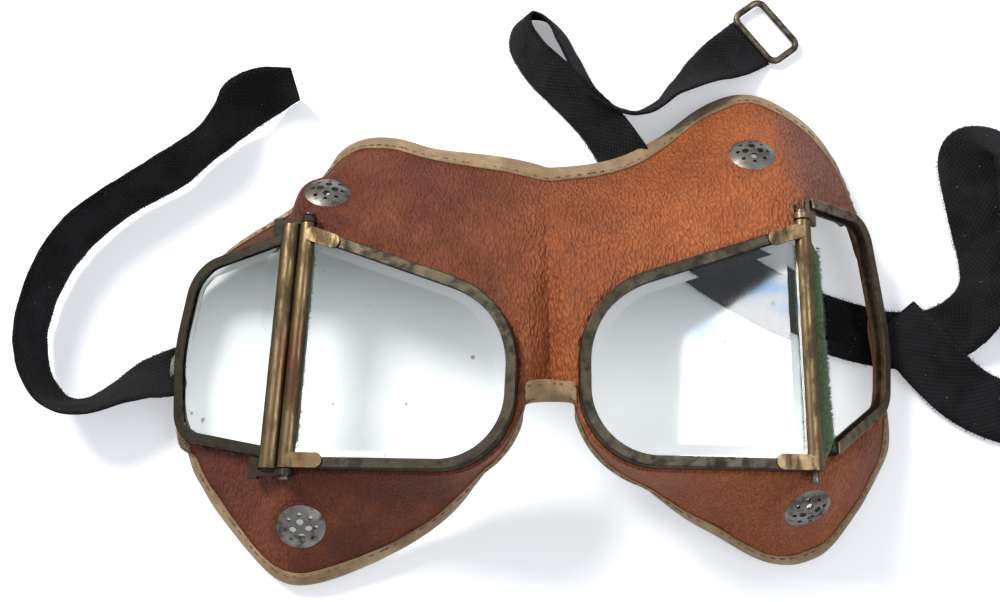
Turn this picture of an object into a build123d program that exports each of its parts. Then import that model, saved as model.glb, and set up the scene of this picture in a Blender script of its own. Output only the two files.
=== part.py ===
"""Leather flying goggles, lying on their back: lenses up, straps on the table.

The mask frame has X to the wearer's left as seen from above, Y towards the brow and Z up.
Each half has a front lens panel, and a side lens panel that turns about the front post.
"""

import os
from math import atan2, degrees, hypot, radians, tan

from build123d import *

# Front lens, measured in its own plane from the axis of the front post
lens_reach = 55.0
lens_top = 29.8
lens_bottom = 30.5
lens_top_slope = 19.5
lens_top_radius = 24.0
lens_bottom_radius = 18.0
glass_thickness = 2.0
glass_bevel_width = 2.4
glass_bevel_height = 0.7

# Side lens, from the same axis
side_reach = 35.6
sprung_reach = 38.5
side_top = 30.0
side_bottom = 29.0
side_top_radius = 11.0
side_bow_radius = 46.0
side_bottom_radius = 9.0
# Corners of the side lens before rounding: shares of side_reach, then of side_top or side_bottom
side_corner_shares = [(0.0, 1.0), (0.935, 0.74), (1.02, 0.0), (0.935, -0.78), (0.0, -1.0)]

# U-channel rims
rim_width = 2.6
rim_depth = 3.2
rim_wall = 0.5
rim_lip_corner = 0.35

# Slotted posts that close the rims, hinge pins and corner tabs
post_overhang = 0.7
post_length = lens_top + lens_bottom + post_overhang
front_post_radius = 2.1
side_post_radius = 2.5
post_gap = 0.3
pin_radius = 1.0
pin_reach = 2.3
pin_head_radius = 1.4
pin_head_thickness = 0.5
tab_length = 9.5
tab_width = 3.6
tab_thickness = 0.5
ear_thickness = 1.5
ear_wall = 0.9
sprung_ear_reach = 4.2

# Soft skins
leather_thickness = 1.3
lining_thickness = 1.4
binding_overlay = 0.5
binding_width = 3.2
skin_shoulder = 0.8
least_run = 0.8
least_nose_run = -2.0
least_drop = 0.5
fold_gap = 0.6
fold_block = 4.0
fold_radius = 3.4
fold_depth = 8.0
seal_width = 3.9
seal_depth = 2.0
loose_seal_width = 6.6

# Vents
vent_radius = 5.9
vent_rise = 1.5
vent_sheet = 0.5
vent_shank_radius = 5.0
vent_washer_radius = 5.8
vent_washer_thickness = 0.5
vent_ring_holes = 8
vent_ring_hole_radius = 0.5
vent_ring_radius = 3.75
vent_inner_holes = 4
vent_inner_hole_radius = 0.85
vent_inner_radius = 1.9

# Tape straps and the buckle loop
strap_width = 10.0
strap_thickness = 0.9
strap_lift = 1.7
strap_end_length = 9.0
buckle_span = 17.0
buckle_depth = 9.0
buckle_wire_radius = 0.9
buckle_corner = 2.2

# Clearances
seat = 0.3
skin_clearance = 0.1
binding_clearance = 0.5
pin_clearance = 0.05
glass_clearance = 0.1
glass_to_pin = 0.15
overrun = 20.0
right_through = 240.0

# How the mask lies: the middle of each front post, and the fall of each panel
left_post = (-61.0, -17.3, 23.0)
right_post = (61.0, -19.2, 30.5)
left_spin = -3.2
right_spin = -0.3
left_falls = (13.0, 26.0)
right_falls = (6.5, 44.0)

# How the skins run between rim and edge
belly_run_share = 0.52
belly_rise_share = 0.05
binding_share = 0.8
seal_corner_share = 0.3
route_arc_share = 0.45
arc_station_shares = (0.0, 0.333, 0.667)
smoothing_rounds = 3
scrap_share = 0.08
side_hem_rows = 4

# Sizes that the outline tables follow
half_span = 90.0
brow_rise = 60.0
cheek_drop = 75.0
lie_height = 30.0

# Each row: place along the lens ring, then x, y and z of the edge as shares of the sizes above.
# A y share above zero follows brow_rise, and one below zero follows cheek_drop.
crease_shares = [
    (0.40, 0.0, 0.475, 0.68), (0.43, 0.0, 0.30, 0.82), (0.455, 0.0, 0.12, 0.93), (0.48, 0.0, -0.07, 0.98),
    (0.505, 0.0, -0.22, 0.99), (0.53, 0.0, -0.34, 0.95), (0.55, 0.0, -0.42, 0.90),
]
left_brow_shares = [
    (0.0, -0.735, 0.40, 0.13), (0.005, -0.648, 0.548, 0.12), (0.02, -0.591, 0.68, 0.12),
    (0.06, -0.518, 0.723, 0.14),
    (0.13, -0.427, 0.705, 0.20), (0.20, -0.337, 0.642, 0.30), (0.27, -0.234, 0.595, 0.42),
    (0.34, -0.133, 0.55, 0.55), (0.38, -0.049, 0.503, 0.65),
]
left_cheek_shares = [
    (0.565, -0.05, -0.421, 0.90), (0.58, -0.085, -0.427, 0.87), (0.62, -0.107, -0.473, 0.68),
    (0.66, -0.141, -0.527, 0.52), (0.70, -0.174, -0.601, 0.42), (0.74, -0.214, -0.676, 0.32),
    (0.79, -0.278, -0.755, 0.25), (0.84, -0.351, -0.817, 0.19), (0.89, -0.447, -0.88, 0.16),
    (0.94, -0.541, -0.928, 0.14), (0.975, -0.622, -0.96, 0.13), (0.99, -0.703, -0.969, 0.12),
    (0.995, -0.759, -0.933, 0.12), (1.0, -0.817, -0.863, 0.12),
]
left_side_shares = [
    (0.0, -0.735, 0.40, 0.13), (0.06, -0.788, 0.34, 0.14), (0.16, -0.871, 0.253, 0.155),
    (0.27, -0.965, 0.115, 0.165), (0.37, -1.008, -0.06, 0.175), (0.47, -1.022, -0.25, 0.175),
    (0.57, -1.02, -0.38, 0.175), (0.66, -1.006, -0.475, 0.165), (0.74, -0.985, -0.575, 0.15),
    (0.82, -0.96, -0.64, 0.135), (0.90, -0.918, -0.716, 0.12), (0.96, -0.869, -0.79, 0.12),
    (1.0, -0.817, -0.863, 0.12),
]
right_brow_shares = [
    (0.0, 0.71, 0.872, 0.12), (0.03, 0.643, 0.925, 0.12), (0.08, 0.569, 0.935, 0.12),
    (0.14, 0.461, 0.863, 0.15),
    (0.22, 0.334, 0.697, 0.27), (0.30, 0.211, 0.57, 0.43), (0.36, 0.092, 0.50, 0.60),
]
right_cheek_shares = [
    (0.565, 0.045, -0.42, 0.90), (0.58, 0.087, -0.418, 0.86), (0.60, 0.107, -0.431, 0.74),
    (0.64, 0.149, -0.499, 0.57), (0.68, 0.186, -0.573, 0.47), (0.73, 0.247, -0.648, 0.37),
    (0.79, 0.316, -0.713, 0.27), (0.84, 0.386, -0.769, 0.21), (0.88, 0.453, -0.807, 0.17),
    (0.92, 0.522, -0.857, 0.14), (0.95, 0.59, -0.895, 0.12), (0.97, 0.658, -0.905, 0.12),
    (0.98, 0.712, -0.888, 0.12), (0.99, 0.77, -0.847, 0.12), (1.0, 0.867, -0.70, 0.12),
]
right_side_shares = [
    (0.0, 0.71, 0.872, 0.12), (0.04, 0.744, 0.833, 0.12), (0.09, 0.787, 0.775, 0.12),
    (0.16, 0.84, 0.642, 0.13),
    (0.22, 0.864, 0.535, 0.14), (0.29, 0.891, 0.365, 0.17), (0.36, 0.922, 0.235, 0.185),
    (0.45, 0.952, 0.023, 0.19), (0.56, 0.964, -0.159, 0.19), (0.68, 0.964, -0.297, 0.19),
    (0.80, 0.961, -0.468, 0.175), (0.90, 0.936, -0.549, 0.145), (1.0, 0.867, -0.70, 0.12),
]

# Corners of the sprung right rim, which has lost its post: shares of sprung_reach and side_top
sprung_rim_shares = [(0.08, 1.235), (0.715, 1.27), (0.90, 0.21), (0.84, -0.38), (0.215, -0.86)]
sprung_radius_shares = [0.22, 1.05, 0.26]

# Each vent: a section row as in the outline tables, and its place along that section
left_top_vent_share = (0.015, -0.60, 0.66, 0.12, 0.42)
left_bottom_vent_share = (0.985, -0.65, -0.963, 0.125, 0.47)
right_top_vent_share = (0.06, 0.567, 0.935, 0.12, 0.50)
right_bottom_vent_share = (0.985, 0.712, -0.888, 0.12, 0.36)

# Strap routes on the table, in millimetres: the tape's middle line
left_strap_route = [
    (-91.5, -19.0, 1.35), (-98.0, -20.5, 1.1), (-104.0, -23.4, 0.5), (-110.5, -27.6, 0), (-117.5, -30.0, 0),
    (-125.0, -27.0, 0), (-130.5, -17.5, 0), (-131.0, -4.0, 0), (-124.5, 13.0, 0), (-111.5, 25.0, 0),
    (-96.0, 34.0, 0),
    (-83.5, 44.0, 0), (-77.0, 54.0, 0), (-67.5, 60.0, 0),
]
right_strap_route = [
    (88.6, -6.2, 1), (94.6, -9.8, 1), (101.5, -18.0, 1), (109.0, -25.5, 0), (118.5, -31.5, 0),
    (129.0, -31.0, 0),
    (135.5, -22.5, 0), (134.0, -11.0, 0), (126.5, -0.5, 0), (121.5, 14.0, 0), (121.5, 31.0, 0),
    (121.3, 50.0, 0),
    (107.6, 50.0, 0), (109.0, 28.0, 0), (111.0, 13.0, 0), (110.0, 1.0, 0), (103.0, -7.0, 0),
    (91.0, -10.5, 0), (77.5, -8.6, 0), (63.0, -3.6, 0), (48.0, 5.0, 0), (35.0, 15.6, 0), (24.5, 28.0, 0),
    (15.0, 40.5, 0), (4.5, 51.5, 0), (-5.5, 62.0, 0), (-9.5, 73.5, 0), (-4.0, 82.0, 0), (5.5, 79.0, 0),
    (10.5, 67.0, 0), (17.0, 56.5, 0), (27.5, 53.5, 0), (38.5, 59.5, 0), (48.5, 67.0, 0),
]

pieces = {}


def turned(place, spin, fall):
    """Frame at a post: Y along it, X level across it before the panel falls."""
    return Location(place) * Location((0, 0, 0), (0, 0, spin)) * Location((0, 0, 0), (0, fall, 0))


def closed(points):
    return Wire.make_polygon(points, close=True)


def plate(wire, low, high):
    """A flat plate on a wire drawn in the plane Z = 0."""
    return extrude(Pos(0, 0, low) * Face(wire), amount=high - low, dir=(0, 0, 1))


def crossing(first, second):
    """Meeting point of two lines, each given by a point and a direction."""
    (px, py, dx, dy), (qx, qy, ex, ey) = first, second
    along = ((qx - px) * ey - (qy - py) * ex) / (dx * ey - dy * ex)
    return px + dx * along, py + dy * along


def grown(points, grow, start):
    """An open outline moved outwards by grow, with both ends slid along to x = start."""
    lines = []
    for (x0, y0), (x1, y1) in zip(points, points[1:]):
        length = hypot(x1 - x0, y1 - y0)
        dx, dy = (x1 - x0) / length, (y1 - y0) / length
        lines.append((x0 - dy * grow, y0 + dx * grow, dx, dy))
    corners = [crossing(first, second) for first, second in zip(lines, lines[1:])]
    if start is None:
        dx, dy = lines[-1][2:]
        end = (points[-1][0] - dy * grow, points[-1][1] + dx * grow)
        return [lines[0][:2]] + corners + [end]
    upright = (start, 0, 0, 1)
    return [crossing(lines[0], upright)] + corners + [crossing(lines[-1], upright)]


def mirrored_path(points, radii, side, grow, start):
    """Rounded open outline on one side of the post axis."""
    corners = [(side * u, v) for u, v in grown(points, grow, start)]
    return FilletPolyline(*corners, radius=[radius + grow for radius in radii])


def lens_path(side, grow, start):
    """Open outline of the front lens from post top to post bottom; the nose lies at -side."""
    nose_top = lens_top - lens_reach * tan(radians(lens_top_slope))
    points = [(0, lens_top), (lens_reach, nose_top), (lens_reach, -lens_bottom), (0, -lens_bottom)]
    return mirrored_path(points, [lens_top_radius, lens_bottom_radius], -side, grow, start)


def side_path(side, grow, start):
    """Open outline of the side lens: it narrows outwards and its outer edge bows."""
    points = []
    for u, v in side_corner_shares:
        points.append((side_reach * u, (side_top if v > 0 else side_bottom) * v))
    radii = [side_top_radius, side_bow_radius, side_bottom_radius]
    return mirrored_path(points, radii, side, grow, start)


def sprung_path(side, grow, start):
    """Outline of the right side rim, bent away from where its post was."""
    points = [(sprung_reach * u, side_top * v) for u, v in sprung_rim_shares]
    radii = [sprung_reach * share for share in sprung_radius_shares]
    return mirrored_path(points, radii, side, grow, start)


def outline(path):
    """Closed wire of an open path and the straight line between its ends."""
    return Wire(path.edges() + [Edge.make_line(path @ 1, path @ 0)])


def channel(path, side, start):
    """U-channel rim: an outer wall with two lips, open towards the glass."""
    half = rim_depth / 2
    groove = half - rim_wall
    body = plate(outline(path(side, 0, start)), -half, half)
    long_edges = body.edges().filter_by(lambda edge: edge.length > rim_width)
    body = fillet(long_edges.filter_by_position(Axis.Z, half, half), rim_lip_corner)
    body -= plate(outline(path(side, -rim_width, -overrun)), -half - overrun, half + overrun)
    body -= plate(outline(path(side, -rim_wall, -overrun)), -groove, groove)
    return body


def bar(radius, low, high, x=0, z=0):
    """Round bar along Y."""
    shape = Cylinder(radius, high - low, rotation=(90, 0, 0))
    return Pos(x, (high + low) / 2, z) * shape


def bevelled_glass(path, side, edge_clear, start, crown_start):
    """Flat glass with a raised middle and bevelled margin; the straight edge sits in the post."""
    half = glass_thickness / 2
    low = plate(outline(path(side, -edge_clear, start)), -half, half)
    wide = outline(path(side, -rim_width - seat, crown_start))
    narrow = outline(path(side, -rim_width - seat - glass_bevel_width, crown_start + glass_bevel_width))
    sections = [Pos(0, 0, half) * wide, Pos(0, 0, half + glass_bevel_height) * narrow]
    crown = Solid.make_loft(sections, ruled=True)
    return low + crown


def post(radius, slot_to, length):
    """Slotted tube: its bore takes the pin and its slot takes the glass."""
    tube = bar(radius, -length / 2, length / 2)
    tube -= bar(pin_radius + pin_clearance, -length, length)
    middle = slot_to * overrun / 2
    tube -= Pos(middle, 0, 0) * Box(overrun, length * 2, glass_thickness + glass_clearance * 2)
    return tube


def corner_tab(side, v, slope):
    """Brass tab that folds from the post over the corner of the rim."""
    rise = rim_depth / 2
    shape = extrude(SlotOverall(tab_length, tab_width), amount=tab_thickness)
    shape = Rot(0, 0, side * slope) * (Pos(-side * (tab_length / 2), 0, rise) * shape)
    return Pos(0, v, 0) * shape


def ear(side, y, reach_to):
    """Knuckle of the side rim round the hinge pin, with the strip that carries it."""
    outer = pin_radius + pin_clearance + ear_wall
    knuckle = bar(outer, y - ear_thickness / 2, y + ear_thickness / 2)
    strip = Pos(side * reach_to[0] / 2, y, 0) * Box(reach_to[0], ear_thickness, rim_wall * 2)
    arm_length = abs(reach_to[1] - y) + rim_width
    arm = Pos(side * reach_to[0], (reach_to[1] + y) / 2, 0) * Box(rim_width, arm_length, rim_wall * 2)
    shape = knuckle + strip + arm
    return shape - bar(pin_radius + pin_clearance, y - overrun, y + overrun)


def hinge_pin(side):
    """Pin through the front post, with a low head past the lower ear."""
    top = post_length / 2 + pin_reach
    bottom = -post_length / 2 - pin_reach
    pin = bar(pin_radius, bottom, top)
    pin += bar(pin_head_radius, bottom - pin_head_thickness, bottom)
    pin += bar(pin_head_radius, top, top + pin_head_thickness)
    return pin


def place_of(row):
    """Edge point of an outline row, in the mask frame."""
    height = brow_rise if row[2] > 0 else cheek_drop
    return Vector(half_span * row[1], height * row[2], lie_height * row[3])


def section(frame, path, side, row):
    """Points of the skin from under the rim to the edge, with the panel's upward and outward directions."""
    up = (frame * Pos(0, 0, 1)).position - frame.position
    marks = []
    for grow in (-rim_width / 2, skin_shoulder):
        ring = path(side, grow, 0)
        mark = ring.position_at(row[0] * ring.length, position_mode=PositionMode.LENGTH)
        marks.append((frame * Pos(*mark)).position - up * (rim_depth / 2 + skin_clearance))
    inner, start = marks
    outward = (start - inner).normalized()
    end = place_of(row)
    least = least_nose_run if path is lens_path else least_run
    end += outward * max(0, least - (end - start).dot(outward))
    end -= up * max(0, least_drop + (end - start).dot(up))
    run = end - start
    belly = start + run * belly_run_share + up * (run.length * belly_rise_share)
    return [inner, start, belly, end], up, outward


def net(frame, path, side, rows):
    """Points and outward normals of a skin, row by row."""
    sections = [section(frame, path, side, row) for row in rows]
    grid = []
    for i, (points, up, outward) in enumerate(sections):
        before = sections[max(i - 1, 0)][0]
        after = sections[min(i + 1, len(sections) - 1)][0]
        line = [(points[0], up), (points[1], up)]
        for j in range(2, len(points)):
            along = after[j] - before[j]
            across = points[min(j + 1, len(points) - 1)] - points[j - 1]
            normal = along.cross(across).normalized()
            if normal.dot(up + outward) < 0:
                normal = -normal
            line.append((points[j], normal))
        grid.append(line)
    for _ in range(smoothing_rounds):
        grid = [smoothed(grid, i) for i in range(len(grid))]
    return grid


def smoothed(grid, i):
    """Row i of a net with each normal eased towards those of its neighbours."""
    before, here, after = grid[max(i - 1, 0)], grid[i], grid[min(i + 1, len(grid) - 1)]
    line = here[:2]
    for j in range(2, len(here)):
        normal = before[j][1] + here[j][1] * 2 + after[j][1] + here[j - 1][1]
        line.append((here[j][0], normal.normalized()))
    return line


def facets(first, second):
    """Triangles between two rows of points."""
    faces = []
    for a, b, c, d in zip(first, first[1:], second[1:], second):
        faces.append(Face(closed([a, b, c])))
        faces.append(Face(closed([a, c, d])))
    return faces


def sheet(over_rows, under_rows):
    """Solid between two nets of points."""
    faces = []
    for rows in (over_rows, under_rows):
        for first, second in zip(rows, rows[1:]):
            faces += facets(first, second)
    for end in (0, -1):
        faces += facets(over_rows[end], under_rows[end])
        faces += facets([row[end] for row in over_rows], [row[end] for row in under_rows])
    shell = Shell(faces)
    solid = Solid(shell)
    return solid if solid.volume > 0 else Solid(-shell)


def skin(frame, path, side, rows, over, under):
    """Soft layer from under the rim to the edge."""
    grid = net(frame, path, side, rows)
    over_rows = [[point - normal * over for point, normal in line] for line in grid]
    under_rows = [[point - normal * under for point, normal in line] for line in grid]
    return sheet(over_rows, under_rows)


def binding(frame, path, side, rows, thickness):
    """Folded tape round the edge: a channel whose mouth takes the skins."""
    over_rows, under_rows = [], []
    for line in net(frame, path, side, rows):
        (belly, belly_normal), (end, normal) = line[-2:]
        length = (end - belly).length
        back = (belly - end) / length
        width = min(binding_width, length * binding_share)
        reach = end + back * width
        reach_normal = normal + (belly_normal - normal) * (width / length)
        mouth = end - back * binding_clearance
        tip = mouth - back * binding_overlay
        near, far = binding_clearance, thickness + binding_clearance
        over_rows.append([
            reach + reach_normal * (near + binding_overlay), tip + normal * (near + binding_overlay),
            tip - normal * (far + binding_overlay), reach - reach_normal * (far + binding_overlay)])
        under_rows.append([
            reach + reach_normal * near, mouth + normal * near,
            mouth - normal * far, reach - reach_normal * far])
    return sheet(over_rows, under_rows)


def parting_block(start, end, to_left):
    """Upright block beside the plan line from start to end, reaching half the fold gap over it."""
    dx, dy = end.X - start.X, end.Y - start.Y
    reach = hypot(dx, dy) + overrun
    shift = to_left * (fold_block - fold_gap) / 2
    block = Pos(reach / 2, shift, 0) * Box(reach, fold_block, right_through)
    return Pos(start.X, start.Y, 0) * Rot(0, 0, degrees(atan2(dy, dx))) * block


def vent_frame(frame, side, share):
    """Frame on a front skin at a vent: Z square to the leather."""
    (inner, start, belly, end), up, outward = section(frame, lens_path, side, share[:4])
    reach = share[4] * (end - start).length
    before = (belly - start).length
    if reach < before:
        place = start + (belly - start) * (reach / before)
    else:
        place = belly + (end - belly) * ((reach - before) / (end - belly).length)
    across = end - start
    along = Vector(-across.Y, across.X, 0)
    normal = along.cross(across)
    if normal.Z < 0:
        normal = -normal
    return Location(Plane(origin=place, x_dir=along, z_dir=normal))


def dome(radius, rise):
    """Shallow spherical cap standing on Z = 0."""
    ball = (radius * radius + rise * rise) / rise / 2
    cap = Pos(0, 0, rise - ball) * Sphere(ball)
    return cap & (Pos(0, 0, overrun / 2) * Cylinder(radius * 2, overrun))


def vent_cap():
    """Pierced dome with the shank that is clinched under the washer."""
    depth = leather_thickness + lining_thickness + vent_washer_thickness + seat
    body = dome(vent_radius, vent_rise)
    body += Pos(0, 0, -depth / 2) * Cylinder(vent_shank_radius, depth)
    body -= Pos(0, 0, -depth) * Cylinder(vent_shank_radius - vent_sheet, depth * 2)
    body -= Pos(0, 0, -vent_sheet) * dome(vent_shank_radius - vent_sheet - pin_clearance, vent_rise)
    rings = [(vent_ring_radius, vent_ring_holes, vent_ring_hole_radius),
             (vent_inner_radius, vent_inner_holes, vent_inner_hole_radius)]
    for ring_radius, count, hole_radius in rings:
        for hole_place in PolarLocations(ring_radius, count):
            body = body - hole_place * Cylinder(hole_radius, overrun)
    return body


def vent_washer():
    """Ring clinched over the shank behind the lining."""
    level = -(leather_thickness + lining_thickness + seat / 2) - vent_washer_thickness / 2
    ring = Cylinder(vent_washer_radius, vent_washer_thickness)
    ring -= Cylinder(vent_shank_radius + pin_clearance, overrun)
    return Pos(0, 0, level) * ring


def vent_hole():
    """Room for a vent: a seat for the flange, a hole for the shank and a recess for the washer."""
    front = Pos(0, 0, overrun / 4) * Cylinder(vent_radius + seat, overrun / 2)
    hole = Cylinder(vent_shank_radius + pin_clearance, overrun)
    level = -(leather_thickness + lining_thickness)
    back = Pos(0, 0, level - overrun / 4) * Cylinder(vent_washer_radius + seat, overrun / 2)
    return front + hole + back


def strap_corner_radii(points):
    """Radius of each tangent arc between two straight runs of a route."""
    radii = []
    for before, corner, after in zip(points, points[1:], points[2:]):
        first, second = Vector(*corner) - Vector(*before), Vector(*after) - Vector(*corner)
        turn = radians(first.get_angle(second))
        radii.append(route_arc_share * min(first.length, second.length) / tan(turn / 2))
    return radii


def tape(points, width, thickness):
    """Flat tape along a route of straight runs and tangent arcs, as a ruled loft."""
    radii = strap_corner_radii(points)
    path = FilletPolyline(*points, radius=radii)
    print("strap length %.0f, radii %s" % (path.length, " ".join("%.0f" % r for r in radii)))
    stations = []
    for edge in path.edges():
        shares = arc_station_shares if edge.geom_type == GeomType.CIRCLE else arc_station_shares[:1]
        stations.extend((edge @ share, edge % share) for share in shares)
    stations.append((path @ 1, path % 1))
    wires = []
    for place, along in stations:
        across = Vector(-along.Y, along.X, 0).normalized() * (width / 2)
        rise = Vector(0, 0, thickness / 2)
        low = [place - across - rise, place + across - rise]
        high = [place + across + rise, place - across + rise]
        wires.append(closed(low + high))
    return Solid.make_loft(wires, ruled=True)


def buckle_ring():
    """Rectangular wire loop in the plane Z = 0, with one long side on the X axis."""
    corners = [(-buckle_span / 2, 0), (buckle_span / 2, 0), (buckle_span / 2, buckle_depth),
               (-buckle_span / 2, buckle_depth)]
    line = FilletPolyline(*corners, radius=buckle_corner, close=True)
    start = line @ 0
    return sweep(Plane(origin=start, z_dir=line % 0) * Circle(buckle_wire_radius), path=line)


def strap_eye(width):
    """The strap's end folded round the buckle bar, which runs along X."""
    inner = buckle_wire_radius + pin_clearance
    outer = inner + strap_thickness
    roll = Cylinder(outer, width, rotation=(0, 90, 0))
    roll -= Cylinder(inner, width + overrun, rotation=(0, 90, 0))
    tail_length = strap_end_length + outer
    tail = Box(width, tail_length, strap_thickness)
    return roll + Pos(0, -tail_length / 2, -outer + strap_thickness / 2) * tail


def seal_strip(side, width):
    """Felt strip under the post; a loose one reaches further out."""
    strip = Box(width, post_length - rim_width * 2, seal_depth)
    strip = fillet(strip.edges().filter_by(Axis.Y), seal_depth * seal_corner_share)
    level = -front_post_radius - seat - seal_depth / 2
    return Pos(side * (width - seal_width) / 2, 0, level) * strip


def front_metal(side):
    """Rim, post with its two tabs, and glass of a front lens."""
    rim = channel(lens_path, side, 0) - bar(front_post_radius + pin_clearance, -post_length, post_length)
    tube = post(front_post_radius, -side, post_length)
    tube += corner_tab(side, lens_top - tab_width / 2, lens_top_slope)
    tube += corner_tab(side, -lens_bottom + tab_width / 2, 0)
    tube -= bar(pin_radius + pin_clearance, -post_length, post_length)
    start = pin_radius + glass_to_pin
    glass = bevelled_glass(lens_path, side, rim_wall + glass_clearance, start, front_post_radius + seat)
    return rim, tube, glass


def side_metal(side):
    """Rim with its two ears, post and glass of a side lens."""
    middle = front_post_radius + side_post_radius + post_gap
    rim = channel(side_path, side, middle) - bar(
        side_post_radius + pin_clearance, -post_length, post_length, side * middle)
    ear_level = post_length / 2 + ear_thickness / 2 + seat
    reach_x = middle + side_post_radius + rim_width / 2 + seat
    rim += ear(side, ear_level, (reach_x, side_top - rim_width))
    rim += ear(side, -ear_level, (reach_x, -side_bottom + rim_width))
    groove = rim_depth / 2 - rim_wall
    rim -= plate(outline(side_path(side, -rim_wall, -overrun)), -groove, groove)
    tube = Pos(side * middle, 0, 0) * post(side_post_radius, side, post_length)
    start = middle + pin_radius + glass_to_pin
    crown_start = middle + side_post_radius + seat
    glass = bevelled_glass(side_path, side, rim_wall + glass_clearance, start, crown_start)
    return rim, tube, glass


def sprung_metal(side):
    """The right side rim: open where its post was, held by its top ear alone."""
    top_y = side_top * sprung_rim_shares[0][1] - rim_width / 2
    ear_level = post_length / 2 + pin_reach - ear_thickness / 2 - seat
    return channel(sprung_path, side, None) + ear(side, ear_level, (sprung_ear_reach, top_y))


def trimmed(shape, tools):
    """The shape less its tools, without the scraps that the cuts leave."""
    for tool in tools:
        shape = shape - tool
    kept = [solid for solid in shape.solids() if solid.volume > shape.volume * scrap_share]
    return Compound(kept) if len(kept) > 1 else kept[0]


def build_half(name, side, post_place, spin, falls, rows, vents, sprung):
    """All pieces of one half; returns the frames of its front and side panels."""
    front = turned(post_place, spin, side * falls[0])
    wing = turned(post_place, spin, side * falls[1])
    brow, cheek, wing_rows = rows
    wing_path = sprung_path if sprung else side_path

    rim, tube, glass = front_metal(side)
    pieces[name + "_front_rim"] = front * rim
    pieces[name + "_front_post"] = front * tube
    pieces[name + "_front_glass"] = front * glass
    pieces[name + "_hinge_pin"] = front * hinge_pin(side)
    pieces[name + "_seal_strip"] = front * seal_strip(side, loose_seal_width if sprung else seal_width)
    if sprung:
        pieces[name + "_side_rim"] = wing * sprung_metal(side)
    else:
        rim, tube, glass = side_metal(side)
        pieces[name + "_side_rim"] = wing * rim
        pieces[name + "_side_post"] = wing * tube
        pieces[name + "_side_glass"] = wing * glass

    vent_cuts = []
    for vent_name, share in vents:
        frame = vent_frame(front, side, share)
        pieces[name + vent_name + "_vent"] = frame * vent_cap()
        pieces[name + vent_name + "_vent_washer"] = frame * vent_washer()
        vent_cuts.append(frame * vent_hole())

    # Room for the fold between the two panels, the posts and the felt strip
    top_end = (front * Pos(0, post_length / 2, 0)).position
    low_end = (front * Pos(0, -post_length / 2, 0)).position
    top_corner, low_corner = place_of(brow[0]), place_of(cheek[-1])
    fold_reach = post_length / 2 + pin_reach + fold_radius
    fold = front * bar(fold_radius, -fold_reach, fold_reach)
    felt_width = loose_seal_width if sprung else seal_width
    felt_room = front * Pos(side * (felt_width - seal_width) / 2, 0, -fold_depth / 2) * Box(
        felt_width + seat * 2, fold_reach * 2, fold_depth)
    common = [fold, felt_room] + vent_cuts
    if not sprung:
        middle = front_post_radius + side_post_radius + post_gap
        post_end = post_length / 2 + seat
        common.append(wing * bar(side_post_radius + seat, -post_end, post_end, side * middle))
    front_cuts = common + [
        parting_block(top_end, top_corner, -side), parting_block(low_end, low_corner, side)]
    wing_cuts = common + [
        parting_block(top_end, top_corner, side), parting_block(low_end, low_corner, -side)]
    beyond = Pos(-side * (overrun - fold_gap / 2), 0, 0) * Box(overrun * 2, right_through, right_through)

    # Leather, lining and binding
    layers = [
        ("leather", 0, leather_thickness),
        ("lining", leather_thickness, leather_thickness + lining_thickness)]
    for layer, over, under in layers:
        front_skin = skin(front, lens_path, side, brow + crease_shares + cheek, over, under)
        pieces[name + "_front_" + layer] = trimmed(front_skin, front_cuts + [beyond])
        wing_skin = skin(wing, wing_path, side, wing_rows, over, under)
        pieces[name + "_side_" + layer] = trimmed(wing_skin, wing_cuts)
    depth = leather_thickness + lining_thickness
    brow_hem = binding(front, lens_path, side, brow + crease_shares[:1], depth)
    brow_edge = trimmed(brow_hem, front_cuts + [beyond])
    cheek_edge = trimmed(binding(front, lens_path, side, cheek[1:], depth), front_cuts)
    pieces[name + "_front_binding"] = Compound(brow_edge.solids() + cheek_edge.solids())
    side_edges = []
    for hem_rows in (wing_rows[:side_hem_rows], wing_rows[-side_hem_rows:]):
        side_edges += trimmed(binding(wing, wing_path, side, hem_rows, depth), wing_cuts).solids()
    pieces[name + "_side_binding"] = Compound(side_edges)
    return front, wing


left_rows = (left_brow_shares, left_cheek_shares, left_side_shares)
right_rows = (right_brow_shares, right_cheek_shares, right_side_shares)
left_vents = [("_top", left_top_vent_share), ("_bottom", left_bottom_vent_share)]
right_vents = [("_top", right_top_vent_share), ("_bottom", right_bottom_vent_share)]
left_front, left_wing = build_half(
    "left", -1, left_post, left_spin, left_falls, left_rows, left_vents, False)
right_front, right_wing = build_half(
    "right", 1, right_post, right_spin, right_falls, right_rows, right_vents, True)

# Straps: a flat tape from under each side edge, and the buckle loop on the long one
level = strap_thickness / 2
left_points = [(x, y, level + strap_lift * step) for x, y, step in left_strap_route]
pieces["left_strap"] = tape(left_points, strap_width, strap_thickness)
right_points = [(x, y, level + strap_lift * step) for x, y, step in right_strap_route]
last, before_last = Vector(*right_points[-1]), Vector(*right_points[-2])
heading = (last - before_last).normalized()
eye_radius = buckle_wire_radius + pin_clearance + strap_thickness
bar_place = last + heading * (strap_end_length + eye_radius) + Vector(0, 0, eye_radius - level)
bar_frame = Location(bar_place) * Rot(0, 0, degrees(atan2(heading.Y, heading.X)) - 90)
pieces["right_strap"] = tape(right_points, strap_width, strap_thickness) + bar_frame * strap_eye(strap_width)
pieces["buckle_loop"] = bar_frame * buckle_ring()

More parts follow.
